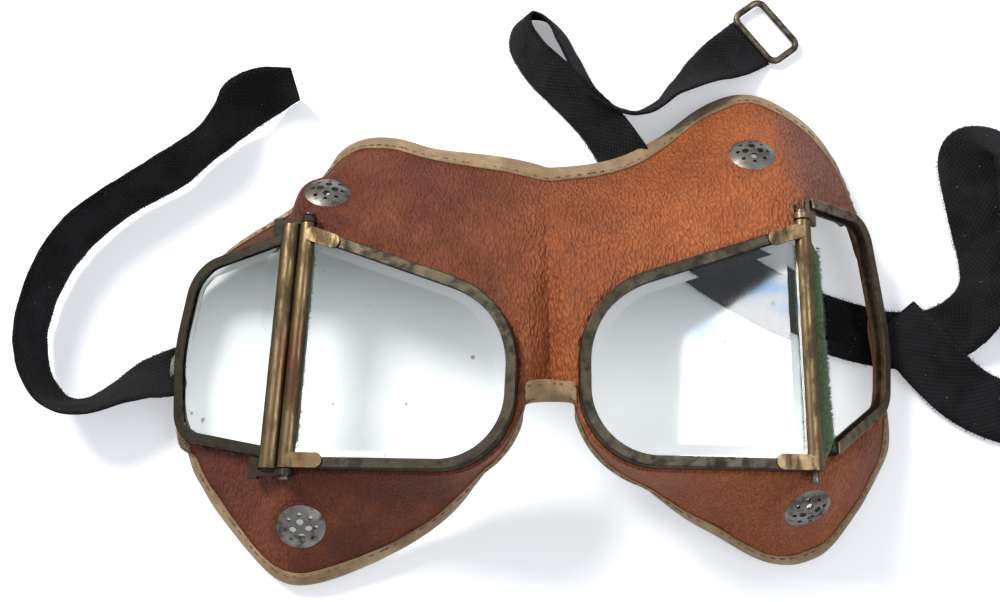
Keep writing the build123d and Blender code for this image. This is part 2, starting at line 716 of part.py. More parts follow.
# Origin at the middle of the mask's foot; the straps already lie on the table
cord_pieces = ("left_strap", "right_strap", "buckle_loop")
corners = Compound([shape for name, shape in pieces.items() if name not in cord_pieces]).bounding_box()
mask_shift = Vector((corners.min.X + corners.max.X) / 2, (corners.min.Y + corners.max.Y) / 2, corners.min.Z)
strap_shift = Vector(mask_shift.X, mask_shift.Y, 0)
print("box", corners.min, corners.max)
print("shift", mask_shift)
for label, frame, shift in (("left_front", left_front, mask_shift), ("left_side", left_wing, mask_shift),
                            ("right_front", right_front, mask_shift), ("right_side", right_wing, mask_shift),
                            ("buckle", bar_frame, strap_shift)):
    axis = (frame * Pos(0, 1, 0)).position - frame.position
    across = (frame * Pos(1, 0, 0)).position - frame.position
    print(label, "at", frame.position - shift, "along", axis, "across", across)

os.makedirs("parts", exist_ok=True)
for name, shape in pieces.items():
    shift = strap_shift if name in cord_pieces else mask_shift
    print(name, "solids %d volume %.0f valid %s" % (len(shape.solids()), shape.volume, shape.is_valid))
    export_step(Pos(-shift.X, -shift.Y, -shift.Z) * shape, f"parts/{name}.step")
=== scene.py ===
import math
import random

import bmesh
import bpy
import numpy as np
from mathutils import Matrix, Vector, noise
from mathutils.bvhtree import BVHTree


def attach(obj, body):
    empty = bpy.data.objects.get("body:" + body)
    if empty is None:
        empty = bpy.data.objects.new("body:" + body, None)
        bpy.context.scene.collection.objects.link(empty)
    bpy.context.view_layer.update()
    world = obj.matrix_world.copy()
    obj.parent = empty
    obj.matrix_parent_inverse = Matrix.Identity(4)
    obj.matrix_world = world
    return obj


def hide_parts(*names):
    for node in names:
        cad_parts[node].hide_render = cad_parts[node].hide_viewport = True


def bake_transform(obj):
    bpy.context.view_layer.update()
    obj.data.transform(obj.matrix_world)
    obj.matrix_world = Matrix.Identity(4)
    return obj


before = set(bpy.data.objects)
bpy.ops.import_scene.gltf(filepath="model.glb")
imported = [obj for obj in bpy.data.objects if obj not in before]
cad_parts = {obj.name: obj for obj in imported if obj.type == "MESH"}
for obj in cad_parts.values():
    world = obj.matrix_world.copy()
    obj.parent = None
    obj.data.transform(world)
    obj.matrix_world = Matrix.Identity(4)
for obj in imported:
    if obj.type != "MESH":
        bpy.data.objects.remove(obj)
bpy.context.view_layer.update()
scene = bpy.context.scene
mm = 0.001
sides = {"left": -1, "right": 1}


def turnTo(place, aim):
    return (Vector(aim) - Vector(place)).to_track_quat("-Z", "Y").to_euler()


# Camera first: nearly straight down on the mask
cameraView = {"place": (-8.8, -96.4, 365.5), "aim": (-8.8, 8.29, 0.19), "lens": 52.5, "sensor": 36}
cameraData = bpy.data.cameras.new("camera")
cameraData.lens = cameraView["lens"]
cameraData.sensor_width = cameraView["sensor"]
camera = bpy.data.objects.new("camera", cameraData)
scene.collection.objects.link(camera)
camera.location = Vector(cameraView["place"]) * mm
camera.rotation_euler = turnTo(cameraView["place"], cameraView["aim"])
scene.camera = camera
print("camera placed")


# Small helpers for meshes and numbers

def newPiece(name, points, faces, material, smooth=True):
    mesh = bpy.data.meshes.new(name)
    mesh.from_pydata([tuple(p) for p in points], [], [tuple(f) for f in faces])
    mesh.materials.append(material)
    mesh.polygons.foreach_set("use_smooth", [smooth] * len(mesh.polygons))
    piece = bpy.data.objects.new(name, mesh)
    scene.collection.objects.link(piece)
    return piece


def gridFaces(rows, columns, closedRows=False, closedColumns=False, first=0):
    faces = []
    for r in range(rows if closedRows else rows - 1):
        row, nextRow = first + r * columns, first + (r + 1) % rows * columns
        for c in range(columns if closedColumns else columns - 1):
            c2 = (c + 1) % columns
            faces.append((row + c, nextRow + c, nextRow + c2, row + c2))
    return faces


def tubeFaces(rows, around, first=0):
    # Rings of points joined into a tube, with a cap on each end
    last = first + (rows - 1) * around
    caps = [tuple(first + q for q in reversed(range(around))), tuple(last + q for q in range(around))]
    return gridFaces(rows, around, False, True, first) + caps


def giveTapeMap(mesh, corners):
    layer = mesh.uv_layers.new(name="tapeMap")
    layer.data.foreach_set("uv", np.array(corners, np.float32).ravel())


def unit(v):
    return v / max(np.linalg.norm(v), 1e-9)


def unitRows(values):
    return values / np.maximum(np.linalg.norm(values, axis=1), 1e-9)[:, None]


def reachAlong(line):
    return np.concatenate([[0], np.cumsum(np.linalg.norm(np.diff(line, axis=0), axis=1))])


def between(value, start, end):
    return np.clip((value - start) / (end - start), 0, 1)


def eased(value):
    return value * value * (3 - 2 * value)


def wave(*place):
    return noise.noise(Vector(place))


# Small helpers for materials

def send(tree, node, **values):
    # Links or sets inputs; i6 means the input numbered 6, and an underscore stands for a space
    for key, value in values.items():
        numbered = key[0] == "i" and key[1:].isdigit()
        socket = node.inputs[int(key[1:]) if numbered else key.replace("_", " ")]
        if hasattr(value, "is_output"):
            tree.links.new(value, socket)
        else:
            socket.default_value = value
    return node


def put(tree, kind, settings=(), **values):
    node = tree.nodes.new("ShaderNode" + kind)
    for key, value in dict(settings).items():
        setattr(node, key, value)
    return send(tree, node, **values)


def use(tree, group, **values):
    return put(tree, "Group", {"node_tree": group}, **values).outputs


def maths(tree, operation, a, b=0.0, clamp=False):
    return put(tree, "Math", {"operation": operation, "use_clamp": clamp}, i0=a, i1=b).outputs[0]


def plus(tree, a, b, clamp=False):
    return maths(tree, "ADD", a, b, clamp)


def minus(tree, a, b):
    return maths(tree, "SUBTRACT", a, b)


def times(tree, a, b, clamp=False):
    return maths(tree, "MULTIPLY", a, b, clamp)


def mixed(tree, factor, a, b, blendType="MIX"):
    return put(tree, "Mix", {"data_type": "RGBA", "blend_type": blendType}, i0=factor, i6=a, i7=b).outputs[2]


def ramp(tree, value, low, high):
    smooth = {"interpolation_type": "SMOOTHSTEP"}
    return put(tree, "MapRange", smooth, Value=value, From_Min=low, From_Max=high).outputs[0]


def covered(tree, value, cover, soft):
    # Mask over about the given share of a noise, with a soft edge
    low = minus(tree, 0.95, cover)
    return ramp(tree, value, minus(tree, low, soft), plus(tree, low, soft))


def cloud(tree, place, size, detail, rough=0.5):
    return put(tree, "TexNoise", Vector=place, Scale=size, Detail=detail, Roughness=rough).outputs[0]


def cells(tree, place, size, randomness=1.0):
    return put(tree, "TexVoronoi", Vector=place, Scale=size, Randomness=randomness).outputs["Distance"]


def restPlace(tree):
    return put(tree, "TexCoord").outputs["Object"]


def newGroup(name, inputs, outputs):
    # Labels with a kind are given as (label, kind); a bare label is a number
    tree = bpy.data.node_groups.new(name, "ShaderNodeTree")
    for direction, entries in (("INPUT", inputs), ("OUTPUT", outputs)):
        for entry in entries:
            label, kind = (entry, "Float") if isinstance(entry, str) else entry
            tree.interface.new_socket(label, in_out=direction, socket_type="NodeSocket" + kind)
    return tree, tree.nodes.new("NodeGroupInput").outputs, tree.nodes.new("NodeGroupOutput")


def newMaterial(name, **plain):
    material = bpy.data.materials.new(name)
    material.use_nodes = True
    tree = material.node_tree
    return material, tree, send(tree, tree.nodes["Principled BSDF"], **plain)


def bumped(tree, shader, height, strength, distance):
    relief = put(tree, "Bump", Strength=strength, Distance=distance, Height=height)
    send(tree, shader, Normal=relief.outputs[0])


def surface(tree, outlet):
    send(tree, tree.nodes["Material Output"], Surface=outlet.outputs[0])


# Groups shared by several materials

def buildStains():
    tree, given, out = newGroup("stains", [("Place", "Vector"), "Size", "Cover"], ["Mask", "Fine"])
    broad = cloud(tree, given["Place"], given["Size"], detail=6.0, rough=0.6)
    fine = cloud(tree, given["Place"], times(tree, given["Size"], 9.0), detail=4.0, rough=0.65)
    send(tree, out, Mask=covered(tree, broad, given["Cover"], soft=0.13), Fine=fine)
    return tree


def buildGrain():
    # Pigskin: short pebbles drawn out across the hide, with rows of pores between them
    tree, given, out = newGroup("pigskinGrain", [("Place", "Vector"), "Size"], ["Height", "Pores"])
    size = given["Size"]
    wander = put(tree, "TexNoise", Vector=given["Place"], Scale=110.0, Detail=2.0).outputs["Color"]
    drift = put(tree, "VectorMath", {"operation": "SCALE"}, i0=wander, Scale=0.004).outputs[0]
    place = put(tree, "VectorMath", {"operation": "ADD"}, i0=given["Place"], i1=drift).outputs[0]
    drawn = put(tree, "Mapping", Vector=place, Scale=(1.15, 0.52, 0.8), Rotation=(0, 0, 0.12)).outputs[0]
    pebble = cells(tree, drawn, size)
    small = cloud(tree, drawn, times(tree, size, 1.7), detail=5.0)
    poreCell = cells(tree, drawn, times(tree, size, 0.72), randomness=0.85)
    patch = cloud(tree, place, times(tree, size, 0.16), detail=2.0)
    pores = times(tree, ramp(tree, poreCell, 0.26, 0.10), ramp(tree, patch, 0.42, 0.56))
    mound = minus(tree, 0.9, times(tree, pebble, 1.5))
    height = plus(tree, mound, times(tree, small, 0.45))
    send(tree, out, Height=minus(tree, height, times(tree, pores, 0.5)), Pores=pores)
    return tree


def buildWeave():
    # Plain weave along a tape, from its own lengthwise and crosswise coordinates in metres
    tree, given, out = newGroup("tapeWeave", ["Threads", "Picks"], ["Height"])
    spot = put(tree, "UVMap", {"uv_map": "tapeMap"}).outputs[0]
    along, across = put(tree, "SeparateXYZ", Vector=spot).outputs[:2]
    warp = maths(tree, "SINE", times(tree, times(tree, along, given["Picks"]), math.pi))
    weft = maths(tree, "SINE", times(tree, times(tree, across, given["Threads"]), math.pi))
    over = times(tree, times(tree, warp, weft), 0.5)
    rib = times(tree, maths(tree, "ABSOLUTE", weft), 0.35)
    fuzz = times(tree, cloud(tree, spot, 2600.0, detail=3.0), 0.7)
    send(tree, out, Height=plus(tree, plus(tree, over, rib), fuzz))
    return tree


def buildTarnish():
    # Brown skin on brass, worn through in spots and drawn out along the piece
    inputs = [("Place", "Vector"), ("Bright", "Color"), ("Dark", "Color"), ("Red", "Color"), "Worn"]
    tree, given, out = newGroup("tarnish", inputs, [("Colour", "Color"), "Rough", "Height", "Metal"])
    broad = cloud(tree, given["Place"], 330.0, detail=5.0, rough=0.65)
    fine = cloud(tree, given["Place"], 2600.0, detail=4.0, rough=0.7)
    rust = ramp(tree, cloud(tree, given["Place"], 150.0, detail=4.0), 0.52, 0.68)
    wear = covered(tree, broad, given["Worn"], soft=0.12)
    colour = mixed(tree, wear, given["Dark"], given["Bright"])
    colour = mixed(tree, times(tree, rust, 0.6), colour, given["Red"])
    speck = times(tree, ramp(tree, fine, 0.50, 0.72), 0.55)
    rough = minus(tree, 0.58, times(tree, wear, 0.26))
    send(tree, out, Colour=mixed(tree, speck, colour, given["Dark"]),
         Rough=plus(tree, rough, times(tree, speck, 0.25)),
         Height=plus(tree, broad, times(tree, fine, 0.6)),
         Metal=minus(tree, 0.95, times(tree, speck, 0.6)))
    return tree


stainsGroup, grainGroup, weaveGroup, tarnishGroup = buildStains(), buildGrain(), buildWeave(), buildTarnish()
print("shader groups built")

# Materials

# Pairs of places, in metres, say where one look turns into the next
leatherFinish = {
    "bright": (0.50, 0.138, 0.038, 1), "deep": (0.120, 0.028, 0.013, 1), "worn": (0.200, 0.098, 0.078, 1),
    # The pore colour also paints shade into the grain's valleys; the crest colour is a painted highlight on
    # the grain's crests
    "pores": (0.075, 0.020, 0.010, 1), "crestHighlight": (0.66, 0.235, 0.095, 1),
    "grainSize": 1250.0, "grainDepth": 0.0005, "leftward": (0.022, -0.030),
    "rubbed": (((0.0605, 0.068), (0.018, 0.034)), ((0.072, 0.086), (-0.022, -0.034))),
}


def pigskin():
    look = leatherFinish
    material, tree, shader = newMaterial("orange pigskin", Specular_IOR_Level=0.22)
    place = restPlace(tree)
    acrossMask, alongMask = put(tree, "SeparateXYZ", Vector=place).outputs[:2]
    grain = use(tree, grainGroup, Place=place, Size=look["grainSize"])
    broad = use(tree, stainsGroup, Place=place, Size=26.0, Cover=0.47)
    small = use(tree, stainsGroup, Place=place, Size=120.0, Cover=0.42)
    # The right half keeps its orange; the colour darkens towards the left half and the nose
    leftward = times(tree, ramp(tree, acrossMask, *look["leftward"]), 0.72)
    darkening = plus(tree, leftward, times(tree, broad["Mask"], 0.38), clamp=True)
    colour = mixed(tree, darkening, look["bright"], look["deep"])
    # Rubbed purple-brown patches at the right temple
    patches = [times(tree, ramp(tree, acrossMask, *across), ramp(tree, alongMask, *along))
               for across, along in look["rubbed"]]
    rubbed = times(tree, maths(tree, "MAXIMUM", *patches), 0.85)
    rubbed = times(tree, rubbed, plus(tree, 0.55, times(tree, small["Fine"], 0.7)), clamp=True)
    colour = mixed(tree, rubbed, colour, look["worn"])
    colour = mixed(tree, times(tree, small["Mask"], 0.22), colour, look["deep"])
    # Painted shade in the grain's valleys, in the pore colour, darker where the grain lies low
    valleyShade = times(tree, ramp(tree, grain["Height"], 0.62, 0.28), 0.35)
    colour = mixed(tree, valleyShade, colour, look["pores"])
    # Painted highlight: the grain's crests are coloured lighter where the grain stands high
    crestHighlight = times(tree, ramp(tree, grain["Height"], 0.78, 1.1), 0.16)
    colour = mixed(tree, crestHighlight, colour, look["crestHighlight"])
    # The pores are darkened, partly their own colour and partly painted shade in the holes
    colour = mixed(tree, times(tree, grain["Pores"], 0.55), colour, look["pores"])
    rough = plus(tree, 0.46, times(tree, rubbed, 0.22))
    rough = plus(tree, rough, times(tree, small["Fine"], 0.16))
    send(tree, shader, Base_Color=colour, Roughness=rough)
    bumped(tree, shader, grain["Height"], 0.8, look["grainDepth"])
    return material


def fibreLook(name, look, **plain):
    # Dyed fibres in two mottled colours, with paler tips where they stand up
    material, tree, shader = newMaterial(name, **plain)
    place = restPlace(tree)
    fibre = cloud(tree, place, *look["fibre"])
    mottle = use(tree, stainsGroup, Place=place, Size=look["mottle"], Cover=0.5)
    colour = mixed(tree, mottle["Mask"], look["one"], look["other"])
    if "tips" in look:
        colour = mixed(tree, ramp(tree, fibre, *look["tipRange"]), colour, look["tips"])
    send(tree, shader, Base_Color=colour)
    bumped(tree, shader, fibre, look["relief"], look["depth"])
    return material


velvetFinish = {
    "fibre": (1900.0, 5.0, 0.7), "mottle": 60.0, "relief": 0.9, "depth": 0.0006,
    "one": (0.020, 0.060, 0.022, 1), "other": (0.045, 0.115, 0.036, 1),
    "tips": (0.085, 0.17, 0.055, 1), "tipRange": (0.35, 0.70),
}
cottonFinish = {
    "clean": (0.48, 0.335, 0.18, 1), "dirty": (0.31, 0.195, 0.093, 1), "grime": (0.20, 0.115, 0.055, 1),
    "threads": 2300.0, "weaveDepth": 0.00025,
}
tapeFinish = {
    "black": (0.0055, 0.0052, 0.0060, 1), "faded": (0.014, 0.0135, 0.015, 1),
    "ribHighlight": (0.026, 0.025, 0.027, 1), "lint": (0.33, 0.32, 0.30, 1),
    "threads": 1500.0, "picks": 1300.0, "weaveDepth": 0.00045,
}


def cotton():
    look = cottonFinish
    material, tree, shader = newMaterial("tan cotton tape", Roughness=0.88, Sheen_Weight=0.15)
    place = restPlace(tree)
    weave = use(tree, weaveGroup, Threads=look["threads"], Picks=look["threads"])["Height"]
    dirt = use(tree, stainsGroup, Place=place, Size=75.0, Cover=0.51)["Mask"]
    grime = use(tree, stainsGroup, Place=place, Size=260.0, Cover=0.40)["Mask"]
    colour = mixed(tree, dirt, look["clean"], look["dirty"])
    colour = mixed(tree, times(tree, grime, 0.45), colour, look["grime"])
    # Painted shade between the woven threads and a painted highlight on them, multiplied into the colour
    shade = put(tree, "MapRange", Value=weave, From_Min=-0.3, From_Max=1.3, To_Min=0.62, To_Max=1.12)
    send(tree, shader, Base_Color=mixed(tree, 1.0, colour, shade.outputs[0], "MULTIPLY"))
    bumped(tree, shader, weave, 0.5, look["weaveDepth"])
    return material


def blackTape():
    look = tapeFinish
    material, tree, shader = newMaterial("black woven tape", Roughness=0.95, Sheen_Weight=0.03,
                                         Specular_IOR_Level=0.12)
    place = restPlace(tree)
    weave = use(tree, weaveGroup, Threads=look["threads"], Picks=look["picks"])["Height"]
    fade = use(tree, stainsGroup, Place=place, Size=90.0, Cover=0.45)["Mask"]
    lint = ramp(tree, cloud(tree, place, 1400.0, detail=2.0), 0.74, 0.80)
    colour = mixed(tree, fade, look["black"], look["faded"])
    # The raised threads are painted lighter: a painted highlight on the ribs of the weave
    colour = mixed(tree, times(tree, ramp(tree, weave, 0.5, 1.3), 0.4), colour, look["ribHighlight"])
    send(tree, shader, Base_Color=mixed(tree, lint, colour, look["lint"]))
    bumped(tree, shader, weave, 0.7, look["weaveDepth"])
    return material


def metal(name, bright, dark, red, worn, drawn=1.0, relief=0.35):
    # A drawn value under 1 stretches the wear along the piece
    material, tree, shader = newMaterial(name)
    place = put(tree, "Mapping", Vector=restPlace(tree), Scale=(1.0, drawn, 1.0)).outputs[0]
    coat = use(tree, tarnishGroup, Place=place, Bright=(*bright, 1), Dark=(*dark, 1), Red=(*red, 1),
               Worn=worn)
    send(tree, shader, Base_Color=coat["Colour"], Roughness=coat["Rough"], Metallic=coat["Metal"])
    bumped(tree, shader, coat["Height"], relief, 0.0002)
    return material


def glass(name, tint, smear):
    material, tree, shader = newMaterial(name, Transmission_Weight=1.0, IOR=1.46)
    place = restPlace(tree)
    haze = use(tree, stainsGroup, Place=place, Size=55.0, Cover=0.48)["Mask"]
    rustDots = ramp(tree, cells(tree, place, 95.0), 0.075, 0.045)
    send(tree, shader, Base_Color=mixed(tree, rustDots, tint, (0.33, 0.13, 0.08, 1)),
         Roughness=plus(tree, times(tree, haze, smear), 0.015))
    # The table under the lens gets its light straight through
    ray = put(tree, "LightPath").outputs
    passing = maths(tree, "MAXIMUM", ray["Is Shadow Ray"], ray["Is Diffuse Ray"])
    clear = put(tree, "BsdfTransparent", Color=(0.95, 0.97, 0.965, 1))
    surface(tree, put(tree, "MixShader", i0=passing, i1=shader.outputs[0], i2=clear.outputs[0]))
    return material


leatherLook, cottonLook, tapeLook = pigskin(), cotton(), blackTape()
velvetLook = fibreLook("green velvet", velvetFinish, Roughness=0.95, Sheen_Weight=0.6, Sheen_Roughness=0.4)
rimLook = metal("dark brass rim", bright=(0.060, 0.049, 0.031), dark=(0.032, 0.028, 0.021),
                red=(0.025, 0.034, 0.028), worn=0.47)
postLook = metal("aged brass post", bright=(0.185, 0.128, 0.064), dark=(0.078, 0.053, 0.029),
                 red=(0.105, 0.038, 0.021), worn=0.48, drawn=0.35)
bronzeLook = metal("dark bronze rim", bright=(0.215, 0.165, 0.108), dark=(0.080, 0.061, 0.043),
                   red=(0.110, 0.066, 0.040), worn=0.50)
loopLook = metal("buckle brass", bright=(0.20, 0.165, 0.11), dark=(0.045, 0.038, 0.03),
                 red=(0.07, 0.045, 0.03), worn=0.45)
steelLook = metal("steel pin", bright=(0.15, 0.125, 0.09), dark=(0.05, 0.042, 0.033),
                  red=(0.10, 0.055, 0.035), worn=0.48)
nickelLook = metal("old nickel", bright=(0.25, 0.235, 0.21), dark=(0.078, 0.068, 0.057),
                   red=(0.16, 0.11, 0.08), worn=0.52, relief=0.3)
frontGlassLook = glass("front lens glass", (0.975, 0.992, 0.988, 1), smear=0.03)
sideGlassLook = glass("side lens glass", (0.93, 0.965, 0.955, 1), smear=0.05)

ventNames = ("left_top_vent", "left_bottom_vent", "right_top_vent", "right_bottom_vent")
cadFinishes = [
    (rimLook, ("left_front_rim", "right_front_rim", "left_side_rim")), (bronzeLook, ("right_side_rim",)),
    (postLook, ("left_front_post", "right_front_post", "left_side_post")),
    (frontGlassLook, ("left_front_glass", "right_front_glass")), (sideGlassLook, ("left_side_glass",)),
    (steelLook, ("left_hinge_pin", "right_hinge_pin")), (loopLook, ("buckle_loop",)),
    (nickelLook, [vent + part for vent in ventNames for part in ("", "_washer")]),
]
for look, names in cadFinishes:
    for name in names:
        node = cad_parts[name]
        node.data.materials.clear()
        node.data.materials.append(look)
print("metal and glass finished")

# The mask's soft shell: rows run from each rim to the edge, as in the model

maskForm = {
    "lens": {"reach": 55.0, "top": 29.8, "bottom": 30.5, "radii": (24.0, 18.0), "leastRun": -2.0,
             "slope": 19.5},
    "side": {"reach": 35.6, "top": 30.0, "bottom": 29.0, "radii": (11.0, 46.0, 9.0), "leastRun": 0.8,
             "corners": ((0.0, 1.0), (0.935, 0.74), (1.02, 0.0), (0.935, -0.78), (0.0, -1.0))},
    "sprung": {"reach": 38.5, "top": 30.0, "bottom": 30.0, "radii": (8.47, 40.425, 10.01), "leastRun": 0.8,
               "corners": ((0.08, 1.235), (0.715, 1.27), (0.90, 0.21), (0.84, -0.38), (0.215, -0.86))},
    "posts": {"left": {"place": (-57.799, -9.014, 23.194), "spin": -3.2, "falls": (13.0, 26.0)},
              "right": {"place": (64.201, -10.914, 30.694), "spin": -0.3, "falls": (6.5, 44.0)}},
    "shift": (3.20104, 8.28645, 0.194522),
    "halfSpan": 90.0, "browRise": 60.0, "cheekDrop": 75.0, "lieHeight": 30.0,
    "rimWidth": 2.6, "underRim": 1.72, "shoulder": 0.8, "leather": 1.25, "lining": 1.35, "layerGap": 0.05,
    "rowStep": 1.3, "columns": 22, "bulge": 0.055, "leastDrop": 0.5, "creaseHold": 0.8, "relaxRounds": 14,
}
# Each row: share of the way round the rim, then the edge's place in half spans, in brow rises or cheek drops,
# and in lie heights
creaseRows = [
    (0.40, 0.0, 0.475, 0.68), (0.43, 0.0, 0.30, 0.82), (0.455, 0.0, 0.12, 0.93), (0.48, 0.0, -0.07, 0.98),
    (0.505, 0.0, -0.22, 0.99), (0.53, 0.0, -0.34, 0.95), (0.55, 0.0, -0.42, 0.90),
]
leftBrowRows = [
    (0.0, -0.735, 0.40, 0.13), (0.005, -0.648, 0.548, 0.12), (0.02, -0.591, 0.68, 0.12),
    (0.06, -0.518, 0.723, 0.14), (0.13, -0.427, 0.705, 0.20), (0.20, -0.337, 0.642, 0.30),
    (0.27, -0.234, 0.595, 0.42), (0.34, -0.133, 0.55, 0.55), (0.38, -0.049, 0.503, 0.65),
]
leftCheekRows = [
    (0.565, -0.05, -0.421, 0.90), (0.58, -0.085, -0.427, 0.87), (0.62, -0.107, -0.473, 0.68),
    (0.66, -0.141, -0.527, 0.52), (0.70, -0.174, -0.601, 0.42), (0.74, -0.214, -0.676, 0.32),
    (0.79, -0.278, -0.755, 0.25), (0.84, -0.351, -0.817, 0.19), (0.89, -0.447, -0.88, 0.16),
    (0.94, -0.541, -0.928, 0.14), (0.975, -0.622, -0.96, 0.13), (0.99, -0.703, -0.969, 0.12),
    (0.995, -0.759, -0.933, 0.12), (1.0, -0.817, -0.863, 0.12),
]
leftSideRows = [
    (0.0, -0.735, 0.40, 0.13), (0.06, -0.788, 0.34, 0.14), (0.16, -0.871, 0.253, 0.155),
    (0.27, -0.965, 0.115, 0.165), (0.37, -1.008, -0.06, 0.175), (0.47, -1.022, -0.25, 0.175),
    (0.57, -1.02, -0.38, 0.175), (0.66, -1.006, -0.475, 0.165), (0.74, -0.985, -0.575, 0.15),
    (0.82, -0.96, -0.64, 0.135), (0.90, -0.918, -0.716, 0.12), (0.96, -0.869, -0.79, 0.12),
    (1.0, -0.817, -0.863, 0.12),
]
rightBrowRows = [
    (0.0, 0.71, 0.872, 0.12), (0.03, 0.643, 0.925, 0.12), (0.08, 0.569, 0.935, 0.12),
    (0.14, 0.461, 0.863, 0.15), (0.22, 0.334, 0.697, 0.27), (0.30, 0.211, 0.57, 0.43),
    (0.36, 0.092, 0.50, 0.60),
]
rightCheekRows = [
    (0.565, 0.045, -0.42, 0.90), (0.58, 0.087, -0.418, 0.86), (0.60, 0.107, -0.431, 0.74),
    (0.64, 0.149, -0.499, 0.57), (0.68, 0.186, -0.573, 0.47), (0.73, 0.247, -0.648, 0.37),
    (0.79, 0.316, -0.713, 0.27), (0.84, 0.386, -0.769, 0.21), (0.88, 0.453, -0.807, 0.17),
    (0.92, 0.522, -0.857, 0.14), (0.95, 0.59, -0.895, 0.12), (0.97, 0.658, -0.905, 0.12),
    (0.98, 0.712, -0.888, 0.12), (0.99, 0.77, -0.847, 0.12), (1.0, 0.867, -0.70, 0.12),
]
rightSideRows = [
    (0.0, 0.71, 0.872, 0.12), (0.04, 0.744, 0.833, 0.12), (0.09, 0.787, 0.775, 0.12),
    (0.16, 0.84, 0.642, 0.13), (0.22, 0.864, 0.535, 0.14), (0.29, 0.891, 0.365, 0.17),
    (0.36, 0.922, 0.235, 0.185), (0.45, 0.952, 0.023, 0.19), (0.56, 0.964, -0.159, 0.19),
    (0.68, 0.964, -0.297, 0.19), (0.80, 0.961, -0.468, 0.175), (0.90, 0.936, -0.549, 0.145),
    (1.0, 0.867, -0.70, 0.12),
]
ringCache = {}


def crossed(a, b):
    return a[0] * b[1] - a[1] * b[0]


def meet(lineA, lineB):
    (p, d), (q, e) = lineA, lineB
    return p + d * (crossed(q - p, e) / crossed(d, e))


def roundedRing(corners, radii, grow):
    # A pane's outline from its post and back to it, moved out by grow, its corners rounded
    corners = [np.array(c, float) for c in corners]
    upright = (np.zeros(2), np.array([0.0, 1.0]))
    lines = [upright]
    for a, b in zip(corners, corners[1:]):
        along = unit(b - a)
        lines.append((a + np.array([-along[1], along[0]]) * grow, along))
    lines.append(upright)
    points = [meet(*pair) for pair in zip(lines, lines[1:])]
    ring = [points[0]]
    steps = 12
    for before, corner, after, radius in zip(points, points[1:], points[2:], radii):
        a, b = unit(before - corner), unit(after - corner)
        half = math.acos(np.clip(a @ b, -1, 1)) / 2
        radius += grow
        centre = corner + unit(a + b) * radius / math.sin(half)
        start, end = (corner + way * radius / math.tan(half) - centre for way in (a, b))
        turn = math.atan2(crossed(start, end), start @ end)
        for k in range(steps + 1):
            c, s = math.cos(turn * k / steps), math.sin(turn * k / steps)
            ring.append(centre + np.array([start[0] * c - start[1] * s, start[0] * s + start[1] * c]))
    ring.append(points[-1])
    return np.array(ring)


def atShare(ring, share):
    reach = reachAlong(ring)
    return np.array([np.interp(share * reach[-1], reach, ring[:, k]) for k in (0, 1)])


def panelFrame(half, panel):
    post = maskForm["posts"][half]
    spin = Matrix.Rotation(math.radians(post["spin"]), 4, "Z")
    fall = Matrix.Rotation(math.radians(post["falls"][panel] * sides[half]), 4, "Y")
    return Matrix.Translation(post["place"]) @ spin @ fall


def panelOutline(kind):
    form = maskForm[kind]
    reach, top, bottom = form["reach"], form["top"], form["bottom"]
    if kind == "lens":
        noseTop = top - reach * math.tan(math.radians(form["slope"]))
        return [(0, top), (reach, noseTop), (reach, -bottom), (0, -bottom)]
    return [(reach * u, (top if v > 0 else bottom) * v) for u, v in form["corners"]]


def edgePlace(row):
    height = maskForm["browRise"] if row[2] > 0 else maskForm["cheekDrop"]
    spot = (maskForm["halfSpan"] * row[1], height * row[2], maskForm["lieHeight"] * row[3])
    return np.array(spot) + maskForm["shift"]


def finerRows(rows, step):
    # Rows between the given ones, on a smooth line through them, at even steps along the edge
    rows = np.array(rows, float)
    out = []
    for i in range(len(rows) - 1):
        a, b = rows[max(i - 1, 0)], rows[i]
        c, d = rows[i + 1], rows[min(i + 2, len(rows) - 1)]
        bend, twist = 2 * a - 5 * b + 4 * c - d, 3 * b - a - 3 * c + d
        count = max(2, round(np.linalg.norm(edgePlace(c) - edgePlace(b)) / step))
        for k in range(count):
            t = k / count
            out.append(0.5 * (2 * b + (c - a) * t + bend * t * t + twist * t ** 3))
            out[-1][0] = b[0] + (c[0] - b[0]) * t
    out.append(rows[-1])
    return [tuple(row) for row in out]


def skinSection(half, kind, row, onCrease=False):
    # One row of the skin's points, from under the rim to the mask's edge
    form = maskForm[kind]
    across = sides[half] * (-1 if kind == "lens" else 1)
    panel = panelFrame(half, 0 if kind == "lens" else 1)
    up = np.array(panel.to_3x3() @ Vector((0, 0, 1)))
    marks = []
    for grow in (-maskForm["rimWidth"] / 2, maskForm["shoulder"]):
        if (kind, grow) not in ringCache:
            ringCache[kind, grow] = roundedRing(panelOutline(kind), form["radii"], grow)
        spot = atShare(ringCache[kind, grow], row[0])
        marks.append(np.array(panel @ Vector((across * spot[0], spot[1], 0))) - up * maskForm["underRim"])
    inner, start = marks
    outward = unit(start - inner)
    end = edgePlace(row)
    if not onCrease:
        end = end + outward * max(0, form["leastRun"] - (end - start) @ outward)
        end = end - up * max(0, maskForm["leastDrop"] + (end - start) @ up)
    run = end - start
    lift = up * (np.linalg.norm(run) * maskForm["bulge"] * 2)
    shares = np.arange(maskForm["columns"]) / (maskForm["columns"] - 1)
    return [inner] + [start + run * t + lift * (2 * t * (1 - t)) for t in shares]


def halfNet(half, brow, cheek, side, sideKind):
    # Closed loop of rows round one half: brow, crease, cheek, then back round the side
    step = maskForm["rowStep"]
    loop = [skinSection(half, "lens", row) for row in finerRows(brow + creaseRows[:1], step)[:-1]]
    creaseStart = len(loop)
    loop += [skinSection(half, "lens", row, True) for row in finerRows(creaseRows, step)]
    creaseEnd = len(loop)
    loop += [skinSection(half, "lens", row) for row in finerRows(creaseRows[-1:] + cheek, step)[1:]]
    loop += [skinSection(half, sideKind, row) for row in finerRows(side, step)[::-1][1:-1]]
    return np.array(loop), (creaseStart, creaseEnd)


